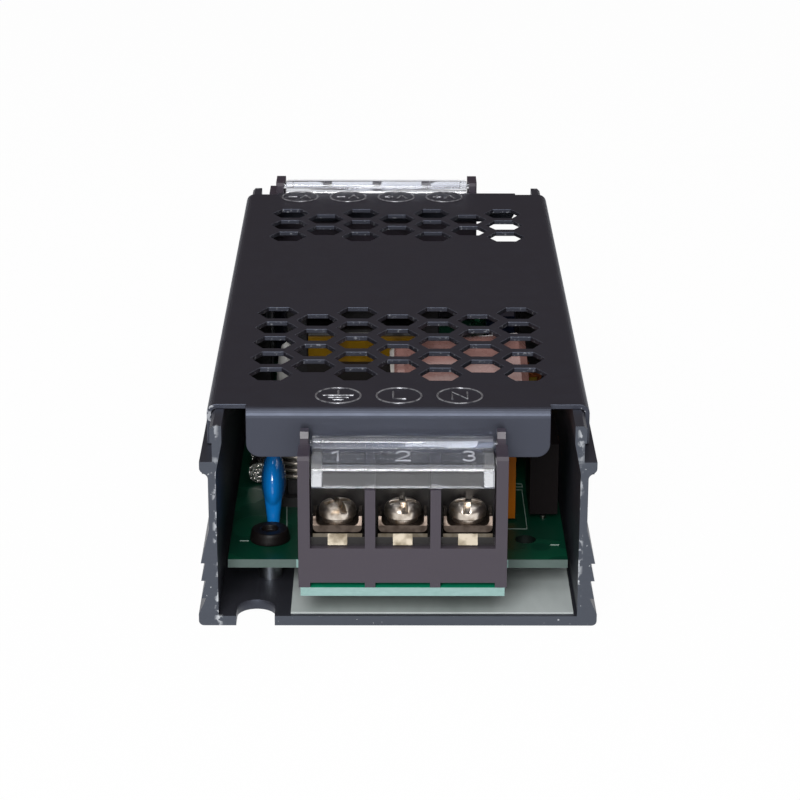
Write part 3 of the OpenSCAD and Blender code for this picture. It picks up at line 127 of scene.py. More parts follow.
class Sheet:
    """A material's or the world's node sheet, with short calls that place nodes and join them."""

    def __init__(self, name: str, world: bool = False) -> None:
        """Makes an empty sheet whose patterns follow the CAD frame.

        Args:
            name: The material's or the world's name.
            world: Whether the sheet is the world's.
        """
        self.owner = (bpy.data.worlds if world else bpy.data.materials).new(name)
        self.owner.use_nodes = True
        self.tree = self.owner.node_tree
        self.tree.nodes.clear()
        kind = "World" if world else "Material"
        self.output = self.tree.nodes.new(f"ShaderNodeOutput{kind}")
        self.place = self.add("TexCoord", {}, "Object")

    def add(
        self,
        kind: str,
        inputs: Mapping[int | str, Value],
        output: int | str = 0,
        **settings: object,
    ) -> Socket:
        """Places a node.

        Args:
            kind: The node's kind, without Blender's prefix.
            inputs: Other nodes' outputs or plain values, by the input's name or number.
            output: Name or number of the output that is used.
            **settings: The node's own settings.

        Returns:
            The output.
        """
        node = self.tree.nodes.new(f"ShaderNode{kind}")
        for name, setting in settings.items():
            setattr(node, name, setting)
        for name, value in inputs.items():
            if isinstance(value, Socket):
                self.tree.links.new(value, node.inputs[name])
            elif value is not None:
                node.inputs[name].default_value = value
        return node.outputs[output]

    def math(self, operation: str, first: Value, second: Value = None) -> Socket:
        """One sum on numbers, by its name in Blender."""
        return self.add("Math", {0: first, 1: second}, operation=operation)

    def times(self, first: Value, second: Value) -> Socket:
        """The product of two numbers."""
        return self.math("MULTIPLY", first, second)

    def along(self, axis: Axis) -> Socket:
        """The place along one axis, in metres."""
        return self.add("SeparateXYZ", {0: self.place}, axis.value)

    def reach(self, axis: Axis) -> Socket:
        """The distance from the frame's middle along one axis, in metres."""
        return self.math("ABSOLUTE", self.along(axis))

    def near(self, point: Vector) -> Socket:
        """The distance from a point of the CAD frame, in metres."""
        return self.add("VectorMath", {0: self.place, 1: point}, "Value", operation="DISTANCE")

    def step(self, value: Value, start: float, end: float) -> Socket:
        """A ramp that is 0 where a value is at its start and 1 where it is at its end."""
        inputs = {"Value": value, "From Min": start, "From Max": end}
        return self.add("MapRange", inputs, "Result", clamp=True)

    def noise(self, grain: float, detail: float, stretch: Sequence[float] = (1, 1, 1)) -> Socket:
        """Soft random cloud.

        Args:
            grain: Size of one cloud.
            detail: How many finer layers it has.
            stretch: How much longer the clouds are along each axis.

        Returns:
            The cloud's value.
        """
        scale = [1.0 / (grain * MM * long) for long in stretch]
        place = self.add("Mapping", {"Vector": self.place, "Scale": scale}, "Vector")
        return self.add("TexNoise", {"Vector": place, "Scale": 1.0, "Detail": detail}, "Fac")

    def spots(self, grain: float, detail: float, start: float, end: float) -> Socket:
        """Random spots, where a cloud's value is past a ramp."""
        return self.step(self.noise(grain, detail), start, end)

    def cells(self, grain: float) -> Socket:
        """Distance to the nearest of many random points, in units of the grain."""
        scale = 1.0 / (grain * MM)
        return self.add("TexVoronoi", {"Vector": self.place, "Scale": scale}, "Distance")

    def bands(self, axis: Axis, pitch: float, rough: float) -> Socket:
        """Straight waves across one axis.

        Args:
            axis: The axis that the waves run across.
            pitch: Distance between waves.
            rough: How far the waves wander.

        Returns:
            The waves' value.
        """
        scale = math.pi / 10.0 / (pitch * MM)
        inputs = {"Vector": self.place, "Scale": scale, "Distortion": rough}
        return self.add("TexWave", inputs, "Fac", wave_type="BANDS", bands_direction=axis.name)

    def blend(self, share: Value, first: Value, second: Value) -> Socket:
        """Mixes two colours, with a share of the second one."""
        return self.add("Mix", {"Factor": share, 6: first, 7: second}, 2, data_type="RGBA")

    def level(self, share: Value, first: float, second: float) -> Socket:
        """Mixes two plain numbers, with a share of the second one."""
        return self.add("Mix", {"Factor": share, 2: first, 3: second})

    def mottled(
        self, colour: Colour, low: float, high: float, grain: float, detail: float
    ) -> Socket:
        """A colour that drifts in clouds between a low and a high share of its light."""
        return self.blend(self.noise(grain, detail), linear(colour, low), linear(colour, high))

    def uneven(
        self, middle: float, less: float, more: float, grain: float, detail: float
    ) -> Socket:
        """A number that drifts in clouds from less than its middle to more."""
        return self.level(self.noise(grain, detail), middle - less, middle + more)

    def bump(self, height: Value, depth: float, under: Value = None) -> Socket:
        """The normal bent by a relief of 0 to 1, over the relief under it."""
        inputs = {"Distance": depth * MM, "Height": height, "Normal": under}
        return self.add("Bump", inputs, "Normal")

    def inside(self, box: Box, soft: float = 0.05) -> Socket:
        """Where a point lies inside a box.

        Args:
            box: The box.
            soft: Width of the edge's ramp.

        Returns:
            1 inside the box and 0 outside it.
        """
        share: Value = 1.0
        for axis in Axis:
            place = self.along(axis)
            low, high = box.low[axis.value], box.high[axis.value]
            share = self.times(share, self.step(place, low - soft * MM, low))
            share = self.times(share, self.step(place, high + soft * MM, high))
        return share

    def outside(self, box: Box, soft: float = 0.05) -> Socket:
        """1 outside a box and 0 inside it."""
        return self.math("SUBTRACT", 1.0, self.inside(box, soft))

    def tinned(self, colour: Value, bare: Value) -> Socket:
        """A colour that gives way to tinned wire where the metal is bare."""
        return self.blend(bare, colour, linear(TIN.colour))

    def upright(self) -> Socket:
        """Which faces stand upright.

        Returns:
            1 on upright faces and 0 on level ones.
        """
        normal = self.add("TexCoord", {}, "Normal")
        rise = self.add("SeparateXYZ", {0: normal}, Axis.Z.value)
        return self.step(self.math("ABSOLUTE", rise), 0.6, 0.4)

    def seen(self, *rays: str) -> Socket:
        """Which rays meet a surface.

        Args:
            *rays: The kinds of ray, as Blender's light path names them.

        Returns:
            1 for those rays and 0 for the others.
        """
        share, *others = (self.add("LightPath", {}, f"Is {ray} Ray") for ray in rays)
        for other in others:
            share = self.math("MAXIMUM", share, other)
        return share

    def close(self, shader: Socket) -> None:
        """Joins a shader to the sheet's output."""
        self.tree.links.new(shader, self.output.inputs["Surface"])

    def surface(self, **inputs: Value) -> None:
        """Closes the sheet with a surface shader, its inputs named with underscores for spaces."""
        named = {name.replace("_", " "): value for name, value in inputs.items()}
        self.close(self.add("BsdfPrincipled", named))


class Finish:
    """A procedural finish. Each kind paints its own node sheet."""

    def paint(self, sheet: Sheet) -> None:
        """Paints a material's sheet."""
        raise NotImplementedError

    def dress(self, name: str) -> Material:
        """Makes the material of a name.

        Args:
            name: The material's name.

        Returns:
            The material.
        """
        sheet = Sheet(name)
        self.paint(sheet)
        return sheet.owner


@dataclass(frozen=True)
class TinnedLead:
    """Tinned wire that shows wherever a part's body ends."""

    colour: Colour = (176, 172, 164)
    roughness: float = 0.32


TIN = TinnedLead()


@dataclass(frozen=True)
class MouldedPlastic(Finish):
    """Satin moulding with a fine eroded texture and a slow drift of tone."""

    colour: Colour
    roughness: float = 0.5
    drift: float = 0.18
    specular: float = 0.4
    texture: float = 0.012
    body: Box | None = None
    shaded_bays: tuple[Box, ...] = ()
    # Colour of the painted shade inside the bays.
    bay_shade: Colour = (13, 9, 8)

    def paint(self, sheet: Sheet) -> None:
        """Paints a material's sheet.

        Args:
            sheet: The sheet.
        """
        colour = sheet.mottled(self.colour, 1 - self.drift, 1 + self.drift, 6.0, 5.0)
        rough = sheet.uneven(self.roughness, 0.08, 0.08, 1.2, 4.0)
        metal: Value = 0.0
        # Each bay's inside is painted dark: painted shade where the walls and lid keep the light
        # out.
        for bay in self.shaded_bays:
            colour = sheet.blend(sheet.inside(bay, 0.4), colour, linear(self.bay_shade))
        if self.body is not None:
            metal = sheet.outside(self.body)
            colour = sheet.tinned(colour, metal)
            rough = sheet.level(metal, self.roughness, TIN.roughness)
        sheet.surface(
            Base_Color=colour,
            Metallic=metal,
            Roughness=rough,
            Specular_IOR_Level=self.specular,
            Normal=sheet.bump(sheet.noise(0.16, 2.0), self.texture),
        )


@dataclass(frozen=True)
class DippedCoating(Finish):
    """Thick glossy lacquer that a part was dipped in, with sags and small pits."""

    colour: Colour
    body: Box
    roughness: float = 0.16

    def paint(self, sheet: Sheet) -> None:
        """Paints a material's sheet.

        Args:
            sheet: The sheet.
        """
        colour = sheet.mottled(self.colour, 0.72, 1.18, 3.0, 3.0)
        metal = sheet.outside(self.body, 0.2)
        sags = sheet.bump(sheet.noise(2.2, 2.0, (1, 1, 2)), 0.06)
        pits = sheet.step(sheet.cells(0.9), 0.02, 0.16)
        sheet.surface(
            Base_Color=sheet.tinned(colour, metal),
            Metallic=metal,
            Roughness=sheet.uneven(self.roughness, 0.05, 0.08, 1.5, 3.0),
            Normal=sheet.bump(pits, 0.015, sags),
            Coat_Weight=1.0,
            Coat_Roughness=0.04,
        )


@dataclass(frozen=True)
class BlackCoat(Finish):
    """Black coating on folded sheet, with a fine orange peel, worn corners and vents specked with
    painted glints.

    Each worn corner is a place and the reach of its wear.
    """

    colour: Colour = (15, 9, 12)
    metal: Colour = (170, 173, 178)
    roughness: float = 0.5
    specular: float = 0.9
    vents: Box = Box(Vector((-0.026, -0.055, 0.0333)), Vector((0.026, 0.055, 0.0345)))
    corners: tuple[Quad, ...] = (
        (-29.5, -60.5, 32.5, 2.3),
        (29.5, -60.5, 33.0, 2.0),
        (29.5, 60.5, 33.0, 2.0),
    )

    def paint(self, sheet: Sheet) -> None:
        """Paints a material's sheet.

        Args:
            sheet: The sheet.
        """
        colour = sheet.mottled(self.colour, 0.86, 1.16, 9.0, 6.0)
        bare: Value = 0.0
        for x, y, z, reach in self.corners:
            away = sheet.near(Vector((x * MM, y * MM, z * MM)))
            close = sheet.step(away, reach * MM, reach * 0.2 * MM)
            flakes = sheet.times(close, sheet.spots(0.9, 4.0, 0.5, 0.62))
            bare = sheet.math("MAXIMUM", bare, sheet.step(flakes, 0.35, 0.5))
        # Painted glints: bare-metal specks on the vents' upright walls, lighter than the coat.
        glint_rims = sheet.times(sheet.inside(self.vents), sheet.upright())
        specks = sheet.times(sheet.spots(0.5, 5.0, 0.6, 0.68), 0.5)
        bare = sheet.math("MAXIMUM", bare, sheet.times(glint_rims, specks))
        sheet.surface(
            Base_Color=sheet.blend(bare, colour, linear(self.metal)),
            Metallic=sheet.times(bare, 0.8),
            Roughness=sheet.uneven(self.roughness, 0.05, 0.06, 2.5, 4.0),
            IOR=1.6,
            Specular_IOR_Level=self.specular,
            Specular_Tint=COOL,
            Normal=sheet.bump(sheet.noise(0.35, 2.0), 0.01),
        )


@dataclass(frozen=True)
class Extrusion(Finish):
    """Black anodised extrusion: die lines along it, sawn grey ends and bright nicks at their edges.

    end is the sawn face's distance from the middle, and inner that of the walls' inner faces.
    """

    colour: Colour = (38, 38, 43)
    end_colour: Colour = (58, 61, 66)
    metal: Colour = (190, 194, 198)
    end: float = 68.0
    inner: float = 27.9

    def paint(self, sheet: Sheet) -> None:
        """Paints a material's sheet.

        Args:
            sheet: The sheet.
        """
        die_lines = sheet.noise(0.25, 3.0, (1, 160, 1))
        saw_lines = sheet.noise(0.3, 4.0, (6, 1, 0.6))
        colour = sheet.blend(die_lines, linear(self.colour, 0.8), linear(self.colour, 1.2))
        end = sheet.blend(saw_lines, linear(self.end_colour, 0.78), linear(self.end_colour))
        reach = sheet.reach(Axis.Y)
        sawn = sheet.step(reach, (self.end - 0.02) * MM, (self.end - 0.005) * MM)
        off = sheet.math("SUBTRACT", sheet.reach(Axis.X), self.inner * MM)
        rim = sheet.step(sheet.math("ABSOLUTE", off), 0.7 * MM, 0.1 * MM)
        edge = sheet.times(rim, sheet.step(reach, (self.end - 0.9) * MM, (self.end - 0.1) * MM))
        worn = sheet.spots(9.0, 3.0, 0.45, 0.56)
        nicks = sheet.times(edge, sheet.times(worn, sheet.spots(1.3, 6.0, 0.52, 0.58)))
        specks = sheet.times(sawn, sheet.spots(0.7, 5.0, 0.68, 0.72))
        bare = sheet.math("MAXIMUM", nicks, specks)
        sheet.surface(
            Base_Color=sheet.blend(bare, sheet.blend(sawn, colour, end), linear(self.metal)),
            Metallic=sheet.times(bare, 0.7),
            Roughness=sheet.level(die_lines, 0.4, 0.54),
            Specular_IOR_Level=0.7,
            Specular_Tint=COOL,
            Normal=sheet.bump(saw_lines, 0.01, sheet.bump(die_lines, 0.012)),
        )


@dataclass(frozen=True)
class ClearPlastic(Finish):
    """Clear polished moulding with a faint ripple, bowed below a fold at a height in metres."""

    tint: Colour = (246, 248, 253)
    roughness: float = 0.03
    ior: float = 1.49
    clear: float = 0.98
    fold: float | None = None
    bow_height: float = 1.1
    bow_depth: float = 0.36

    def paint(self, sheet: Sheet) -> None:
        """Paints a material's sheet.

        Args:
            sheet: The sheet.
        """
        relief = sheet.bump(sheet.noise(5.0, 2.0, (2, 1, 1)), 0.02)
        if self.fold is not None:
            bow = sheet.step(sheet.along(Axis.Z), self.fold, self.fold - self.bow_height * MM)
            relief = sheet.bump(bow, self.bow_depth, relief)
        haze = sheet.noise(3.0, 3.0)
        sheet.surface(
            Base_Color=sheet.mottled(self.tint, 0.97, 1.0, 4.0, 2.0),
            Roughness=sheet.level(haze, self.roughness * 0.5, self.roughness * 1.6),
            IOR=self.ior,
            Transmission_Weight=self.clear,
            Normal=relief,
        )


@dataclass(frozen=True)
class PlatedMetal(Finish):
    """Plated metal: rolling marks, warm tarnish, painted shade up to a distance in metres."""

    colour: Colour
    tarnish: Colour
    roughness: float = 0.28
    grain: float = 0.2
    stretch: Triple = (1, 8, 1)
    relief: float = 0.008
    unshaded_from: float | None = None
    shade_colour: Colour = (44, 37, 31)

    def paint(self, sheet: Sheet) -> None:
        """Paints a material's sheet.

        Args:
            sheet: The sheet.
        """
        patches = sheet.spots(1.6, 5.0, 0.42, 0.7)
        colour = sheet.blend(patches, linear(self.colour), linear(self.tarnish))
        # Nearer the middle than that distance the plate is painted in shade, where clamps and lids
        # shade it.
        if self.unshaded_from is not None:
            reach = sheet.reach(Axis.Y)
            in_shade = sheet.step(reach, self.unshaded_from, self.unshaded_from - 0.1 * MM)
            colour = sheet.blend(in_shade, colour, linear(self.shade_colour))
        sheet.surface(
            Base_Color=colour,
            Metallic=1.0,
            Roughness=sheet.level(patches, self.roughness - 0.06, self.roughness + 0.16),
            Normal=sheet.bump(sheet.noise(self.grain, 3.0, self.stretch), self.relief),
        )


@dataclass(frozen=True)
class BoardLacquer(Finish):
    """Green lacquer over copper tracks, with cut edges that are paler on the tongues.

    reach is how far the tongues stand out, and their last lit_rim_width is painted a lighter green:
    painted light on the tongues' tips.
    """

    body: Box
    tongues: tuple[Box, Box]
    reach: float
    colour: Colour = (3, 54, 38)
    track: Colour = (8, 72, 50)
    edge: Colour = (88, 100, 98)
    tongue_edge: Colour = (140, 171, 168)
    # Near-black colour of the painted shade on the hole walls.
    hole_shade: Colour = (3, 16, 11)
    rim: Colour = (16, 134, 98)
    lit_rim_width: float = 2.0

    def paint(self, sheet: Sheet) -> None:
        """Paints a material's sheet.

        Args:
            sheet: The sheet.
        """
        green, track = linear(self.colour), linear(self.track)
        tracks = sheet.step(sheet.cells(7.0), 0.34, 0.37)
        copper = sheet.times(tracks, sheet.spots(11.0, 0.0, 0.5, 0.515))
        colour = sheet.blend(copper, green, sheet.blend(sheet.noise(5.0, 4.0), green, track))
        # The tongues' tips are painted lighter green: painted light where it falls on them.
        rim = self.body.high.y - self.lit_rim_width * MM
        lit_share = sheet.step(sheet.reach(Axis.Y), rim - 0.4 * MM, rim)
        colour = sheet.blend(lit_share, colour, linear(self.rim))
        upright = sheet.upright()
        tongue: Value = 0.0
        within: Value = 0.0
        for box in self.tongues:
            tongue = sheet.math("MAXIMUM", tongue, sheet.inside(box.trimmed((-1, -1, -1))))
            inner = sheet.inside(box.trimmed((0.1, 0.1, -1)), 0.02)
            within = sheet.math("MAXIMUM", within, inner)
        inner = sheet.inside(self.body.trimmed((0.1, self.reach + 0.1, -1)), 0.02)
        within = sheet.math("MAXIMUM", within, inner)
        cut = sheet.times(upright, sheet.math("SUBTRACT", 1.0, within))
        pale = sheet.blend(tongue, linear(self.edge), linear(self.tongue_edge))
        weave = sheet.blend(sheet.noise(0.3, 3.0, (4, 4, 1)), pale, track)
        colour = sheet.blend(cut, colour, sheet.blend(0.3, pale, weave))
        # Upright faces inside the outline, the hole walls, are painted near black: painted shade in
        # the holes.
        sheet.surface(
            Base_Color=sheet.blend(sheet.times(upright, within), colour, linear(self.hole_shade)),
            Roughness=sheet.level(upright, 0.34, 0.6),
            Specular_IOR_Level=0.3,
            Normal=sheet.bump(copper, 0.03),
        )


@dataclass(frozen=True)
class FilmSheet(Finish):
    """Thin white insulating film with faint scuffs."""

    colour: Colour = (182, 189, 188)
    scuff: Colour = (162, 169, 168)

    def paint(self, sheet: Sheet) -> None:
        """Paints a material's sheet.

        Args:
            sheet: The sheet.
        """
        scuffs = sheet.step(sheet.noise(8.0, 6.0, (1, 3, 1)), 0.45, 0.75)
        sheet.surface(
            Base_Color=sheet.blend(scuffs, linear(self.colour), linear(self.scuff)),
            Roughness=sheet.level(scuffs, 0.36, 0.5),
            Normal=sheet.bump(sheet.noise(0.8, 3.0), 0.01),
        )


@dataclass(frozen=True)
class ShrinkSleeve(Finish):
    """Shrunk plastic sleeve on a can, with a pale stripe and a bare metal end."""

    colour: Colour
    stripe: Colour
    stripe_box: Box
    body: Box
    roughness: float = 0.26

    def paint(self, sheet: Sheet) -> None:
        """Paints a material's sheet.

        Args:
            sheet: The sheet.
        """
        colour = sheet.mottled(self.colour, 0.82, 1.0, 4.0, 4.0)
        colour = sheet.blend(sheet.inside(self.stripe_box, 0.1), colour, linear(self.stripe))
        metal = sheet.outside(self.body, 0.1)
        sheet.surface(
            Base_Color=sheet.tinned(colour, metal),
            Metallic=metal,
            Roughness=sheet.uneven(self.roughness, 0.06, 0.1, 1.4, 3.0),
            Normal=sheet.bump(sheet.noise(1.6, 3.0), 0.03),
            Coat_Weight=0.3,
            Coat_Roughness=0.15,
        )


@dataclass(frozen=True)
class WrappedTape(Finish):
    """Yellow insulating tape in overlapping turns, with a dark strip below a top in metres."""

    top: float
    colour: Colour = (146, 110, 6)
    shade: Colour = (106, 77, 3)
    strip: Colour = (20, 17, 16)
    strip_depth: float = 1.5
    turn: float = 9.5

    def paint(self, sheet: Sheet) -> None:
        """Paints a material's sheet.

        Args:
            sheet: The sheet.
        """
        shade = linear(self.shade)
        seams = sheet.step(sheet.bands(Axis.X, self.turn, 0.6), 0.12, 0.02)
        colour = sheet.blend(sheet.noise(3.0, 4.0), linear(self.colour), shade)
        colour = sheet.blend(sheet.times(seams, 0.7), colour, shade)
        edge = self.top - self.strip_depth * MM
        strip = sheet.step(sheet.along(Axis.Z), edge - 0.3 * MM, edge)
        wrinkles = sheet.bump(sheet.noise(1.4, 3.0, (1, 3, 1)), 0.06)
        sheet.surface(
            Base_Color=sheet.blend(strip, colour, linear(self.strip)),
            Roughness=sheet.level(seams, 0.4, 0.55),
            Specular_IOR_Level=0.25,
            Normal=sheet.bump(seams, 0.05, wrinkles),
        )


@dataclass(frozen=True)
class EnamelledWire(Finish):
    """Turns of enamelled wire side by side, up the Z axis."""

    colour: Colour
    # gap colours the painted shade in the creases between turns, and also tints the tone drift.
    gap: Colour
    pitch: float

    def paint(self, sheet: Sheet) -> None:
        """Paints a material's sheet.

        Args:
            sheet: The sheet.
        """
        bright, gap = linear(self.colour), linear(self.gap)
        turns = sheet.bands(Axis.Z, self.pitch, 0.3)
        drift = sheet.blend(sheet.noise(1.5, 3.0), bright, gap)
        warm = sheet.blend(0.35, bright, drift)
        # The creases between turns are painted dark: painted shade between the wires.
        sheet.surface(
            Base_Color=sheet.blend(sheet.step(turns, 0.4, 0.05), warm, gap),
            Metallic=0.65,
            Roughness=sheet.level(turns, 0.5, 0.25),
            Normal=sheet.bump(turns, 0.12),
            Coat_Weight=0.4,
        )


@dataclass(frozen=True)
class Ferrite(Finish):
    """Dark sintered ferrite with pores, and a smear of white silicone where it has one."""

    colour: Colour = (46, 45, 48)
    smear: Box | None = None
    smear_colour: Colour = (226, 226, 226)

    def paint(self, sheet: Sheet) -> None:
        """Paints a material's sheet.

        Args:
            sheet: The sheet.
        """
        pores = sheet.step(sheet.cells(0.35), 0.05, 0.3)
        ground = sheet.mottled(self.colour, 0.6, 1.0, 2.0, 4.0)
        colour = sheet.blend(pores, linear(self.colour, 0.6), ground)
        if self.smear is not None:
            colour = sheet.blend(sheet.inside(self.smear, 0.7), colour, linear(self.smear_colour))
        sheet.surface(
            Base_Color=colour,
            Roughness=sheet.level(pores, 0.75, 0.45),
            Normal=sheet.bump(pores, 0.02),
        )


@dataclass(frozen=True)
class BandedBody(Finish):
    """Lacquered resistor bodies with coloured rings and tinned wire ends."""

    body: Box
    colour: Colour = (104, 158, 178)
    rings: tuple[Colour, ...] = ((120, 62, 20), (30, 30, 30), (196, 92, 20), (186, 150, 60))

    def paint(self, sheet: Sheet) -> None:
        """Paints a material's sheet.

        Args:
            sheet: The sheet.
        """
        colour = sheet.mottled(self.colour, 1.0, 1.2, 1.2, 3.0)
        place = sheet.along(Axis.X)
        pitch = self.body.size.x / (len(self.rings) + 1)
        for number, ring in enumerate(self.rings, start=1):
            off = sheet.math("SUBTRACT", place, self.body.low.x + pitch * number)
            off = sheet.math("ABSOLUTE", off)
            colour = sheet.blend(sheet.step(off, pitch * 0.26, pitch * 0.22), colour, linear(ring))
        metal = sheet.outside(self.body)
        sheet.surface(
            Base_Color=sheet.tinned(colour, metal),
            Metallic=metal,
            Roughness=sheet.level(sheet.noise(0.8, 3.0), 0.2, 0.36),
            Normal=sheet.bump(sheet.noise(0.9, 2.0), 0.02),
            Coat_Weight=0.4,
        )


@dataclass(frozen=True)
class TintedLens(Finish):
    """Tinted clear resin of a lamp, with tinned legs."""

    body: Box
    tint: Colour = (26, 70, 48)

    def paint(self, sheet: Sheet) -> None:
        """Paints a material's sheet.

        Args:
            sheet: The sheet.
        """
        metal = sheet.outside(self.body)
        sheet.surface(
            Base_Color=sheet.tinned(sheet.mottled(self.tint, 1.0, 1.3, 1.0, 2.0), metal),
            Metallic=metal,
            Roughness=sheet.level(metal, 0.12, TIN.roughness),
            Transmission_Weight=sheet.level(metal, 0.4, 0.0),
            Normal=sheet.bump(sheet.noise(1.0, 2.0), 0.01),
        )


@dataclass(frozen=True)
class PressedLine(Finish):
    """Line pressed into a coated sheet: dark with a bright polished crest."""

    colour: Colour = (64, 64, 70)
    crest: Colour = (150, 151, 155)

    def paint(self, sheet: Sheet) -> None:
        """Paints a material's sheet.

        Args:
            sheet: The sheet.
        """
        wear = sheet.spots(0.9, 4.0, 0.36, 0.6)
        sheet.surface(
            Base_Color=sheet.blend(wear, linear(self.colour), linear(self.crest)),
            Metallic=sheet.level(wear, 0.2, 0.7),
            Roughness=sheet.level(wear, 0.45, 0.28),
            Normal=sheet.bump(sheet.noise(0.3, 2.0), 0.01),
        )


class Shop:
    """Makes meshes and hands them to the CAD bodies."""

    @staticmethod
    def keep(
        name: str, mesh: bpy.types.Mesh, material: Material, slot: str, body: str = ROOT
    ) -> None:
        """Puts a finished mesh in the scene.

        Args:
            name: The piece's name.
            mesh: Its mesh, in the CAD frame.
            material: Its finish.
            slot: The record's material slot nearest to that finish. It is not used.
            body: The CAD body that it moves with.
        """
        piece = bpy.data.objects.new(name, mesh)
        bpy.context.scene.collection.objects.link(piece)
        mesh.materials.clear()
        mesh.materials.append(material)
        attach(piece, body)
        LOG.info("piece %s rides on %s with %d faces", name, body, len(mesh.polygons))

    @staticmethod
    def swept(name: str, strokes: Iterable[Stroke], radius: float) -> bpy.types.Mesh:
        """Sweeps a round wire along strokes.

        Args:
            name: The mesh's name.
            strokes: Points of each stroke in metres, and whether it closes on itself.
            radius: The wire's radius.

        Returns:
            The mesh.
        """
        curve = bpy.data.curves.new(name, "CURVE")
        curve.dimensions = "3D"
        curve.bevel_depth = radius * MM
        curve.bevel_resolution = 2
        curve.use_fill_caps = True
        for points, closed in strokes:
            spline = curve.splines.new("POLY")
            spline.points.add(len(points) - 1)
            spline.use_cyclic_u = closed
            for target, point in zip(spline.points, points):
                target.co = (*point, 1.0)
        holder = bpy.data.objects.new(name, curve)
        bpy.context.scene.collection.objects.link(holder)
        bpy.context.view_layer.update()
        graph = bpy.context.evaluated_depsgraph_get()
        mesh = bpy.data.meshes.new_from_object(holder.evaluated_get(graph))
        bpy.data.objects.remove(holder)
        bpy.data.curves.remove(curve)
        mesh.shade_smooth()
        return mesh

    @staticmethod
    def turned(profile: Sequence[Point], foot: Vector, sides: int) -> bmesh.types.BMesh:
        """Turns an outline about an upright axis.

        Args:
            profile: Radius and height of each point.
            foot: The axis' foot.
            sides: Number of steps round the axis.

        Returns:
            The solid, to be joined into a mesh.
        """
        solid = bmesh.new()
        turns = [2 * math.pi * step / sides for step in range(sides)]
        rings = []
        for radius, height in profile:
            offsets = [(math.cos(turn) * radius, math.sin(turn) * radius, height) for turn in turns]
            rings.append([solid.verts.new(foot + Vector(offset) * MM) for offset in offsets])
        for lower, upper in zip(rings, rings[1:]):
            for step in range(sides):
                after = (step + 1) % sides
                solid.faces.new((lower[step], lower[after], upper[after], upper[step]))
        return solid

    @staticmethod
    def joined(name: str, solids: Iterable[bmesh.types.BMesh]) -> bpy.types.Mesh:
        """Joins solids into one smooth mesh.

        Args:
            name: The mesh's name.
            solids: The solids, which are used up.

        Returns:
            The mesh.
        """
        whole = bmesh.new()
        for solid in solids:
            part = bpy.data.meshes.new(name)
            solid.to_mesh(part)
            solid.free()
            whole.from_mesh(part)
            bpy.data.meshes.remove(part)
        bmesh.ops.recalc_face_normals(whole, faces=whole.faces)
        mesh = bpy.data.meshes.new(name)
        whole.to_mesh(mesh)
        whole.free()
        mesh.shade_smooth()
        return mesh


class Nodes:
    """The CAD nodes: each takes a finish, and some take rounded edges or a smooth skin."""

    weld_reach = 0.002
    flat_angle = 0.5
    sharp_angle = 32.0
    skin_grain = 0.14
    skin_passes = 14
    skin_pull = 0.5

    @classmethod
    def finish(cls, node: str, material: Material, edge: float = 0.0, steps: int = 2) -> None:
        """Gives a CAD node its finish.

        Args:
            node: The node's name.
            material: Its finish.
            edge: Width of the rounding on its sharp edges, or 0 for none.
            steps: Number of faces across the rounding.
        """
        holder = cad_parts[node]
        holder.data.materials.clear()
        holder.data.materials.append(material)
        LOG.info("node %s takes %s", node, material.name)
        if edge:
            cls.soften(holder, edge, steps)

    @classmethod
    def soften(cls, holder: bpy.types.Object, edge: float, steps: int) -> None:
        """Rounds a CAD node's sharp edges a little.

        Args:
            holder: The node.
            edge: Width of the rounding.
            steps: Number of faces across the rounding.
        """
        weld = holder.modifiers.new("weld", "WELD")
        weld.merge_threshold = cls.weld_reach * MM
        flat = holder.modifiers.new("flat", "DECIMATE")
        flat.decimate_type = "DISSOLVE"
        flat.angle_limit = math.radians(cls.flat_angle)
        bevel = holder.modifiers.new("edge", "BEVEL")
        bevel.width = edge * MM
        bevel.segments = steps
        bevel.limit_method = "ANGLE"
        bevel.angle_limit = math.radians(cls.sharp_angle)
        bevel.harden_normals = True

    @classmethod
    def melt(cls, node: str) -> None:
        """Runs a CAD node's bodies into one smooth skin, as a dipped coating does.

        Args:
            node: The node's name.
        """
        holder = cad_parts[node]
        skin = holder.modifiers.new("skin", "REMESH")
        skin.mode = "VOXEL"
        skin.voxel_size = cls.skin_grain * MM
        skin.use_smooth_shade = True
        sag = holder.modifiers.new("sag", "SMOOTH")
        sag.factor = cls.skin_pull
        sag.iterations = cls.skin_passes


@dataclass
class Glyph:
    """Single-stroke marks drawn in a plane, in millimetres from the mark's middle."""

    middle: Vector
    right: Vector
    up: Vector

    def line(self, *points: Point, closed: bool = False) -> Stroke:
        """A stroke through points."""
        return [self.middle + (self.right * x + self.up * y) * MM for x, y in points], closed

    def ring(self, radius: float, sides: int = 40) -> Stroke:
        """A closed circle of short straight sides.

        Args:
            radius: The circle's radius.
            sides: Number of sides.

        Returns:
            The stroke.
        """
        turns = [2 * math.pi * step / sides for step in range(sides)]
        points = [(radius * math.cos(turn), radius * math.sin(turn)) for turn in turns]
        return self.line(*points, closed=True)

    @staticmethod
    def arc(y: float, radius: float, start: float, end: float) -> list[Point]:
        """Points along an arc about a point of the mark's upright axis.

        Args:
            y: The point's height.
            radius: The arc's radius.
            start: Where it starts, in degrees.
            end: Where it ends, in degrees.

        Returns:
            The points.
        """
        steps = 8
        turns = [math.radians(start + (end - start) * step / steps) for step in range(steps + 1)]
        return [(radius * math.cos(turn), y + radius * math.sin(turn)) for turn in turns]


LETTER_V = ((-2.1, 1.2), (-1.1, -1.2), (-0.1, 1.2))
DASH = ((0.6, 0.0), (2.2, 0.0))


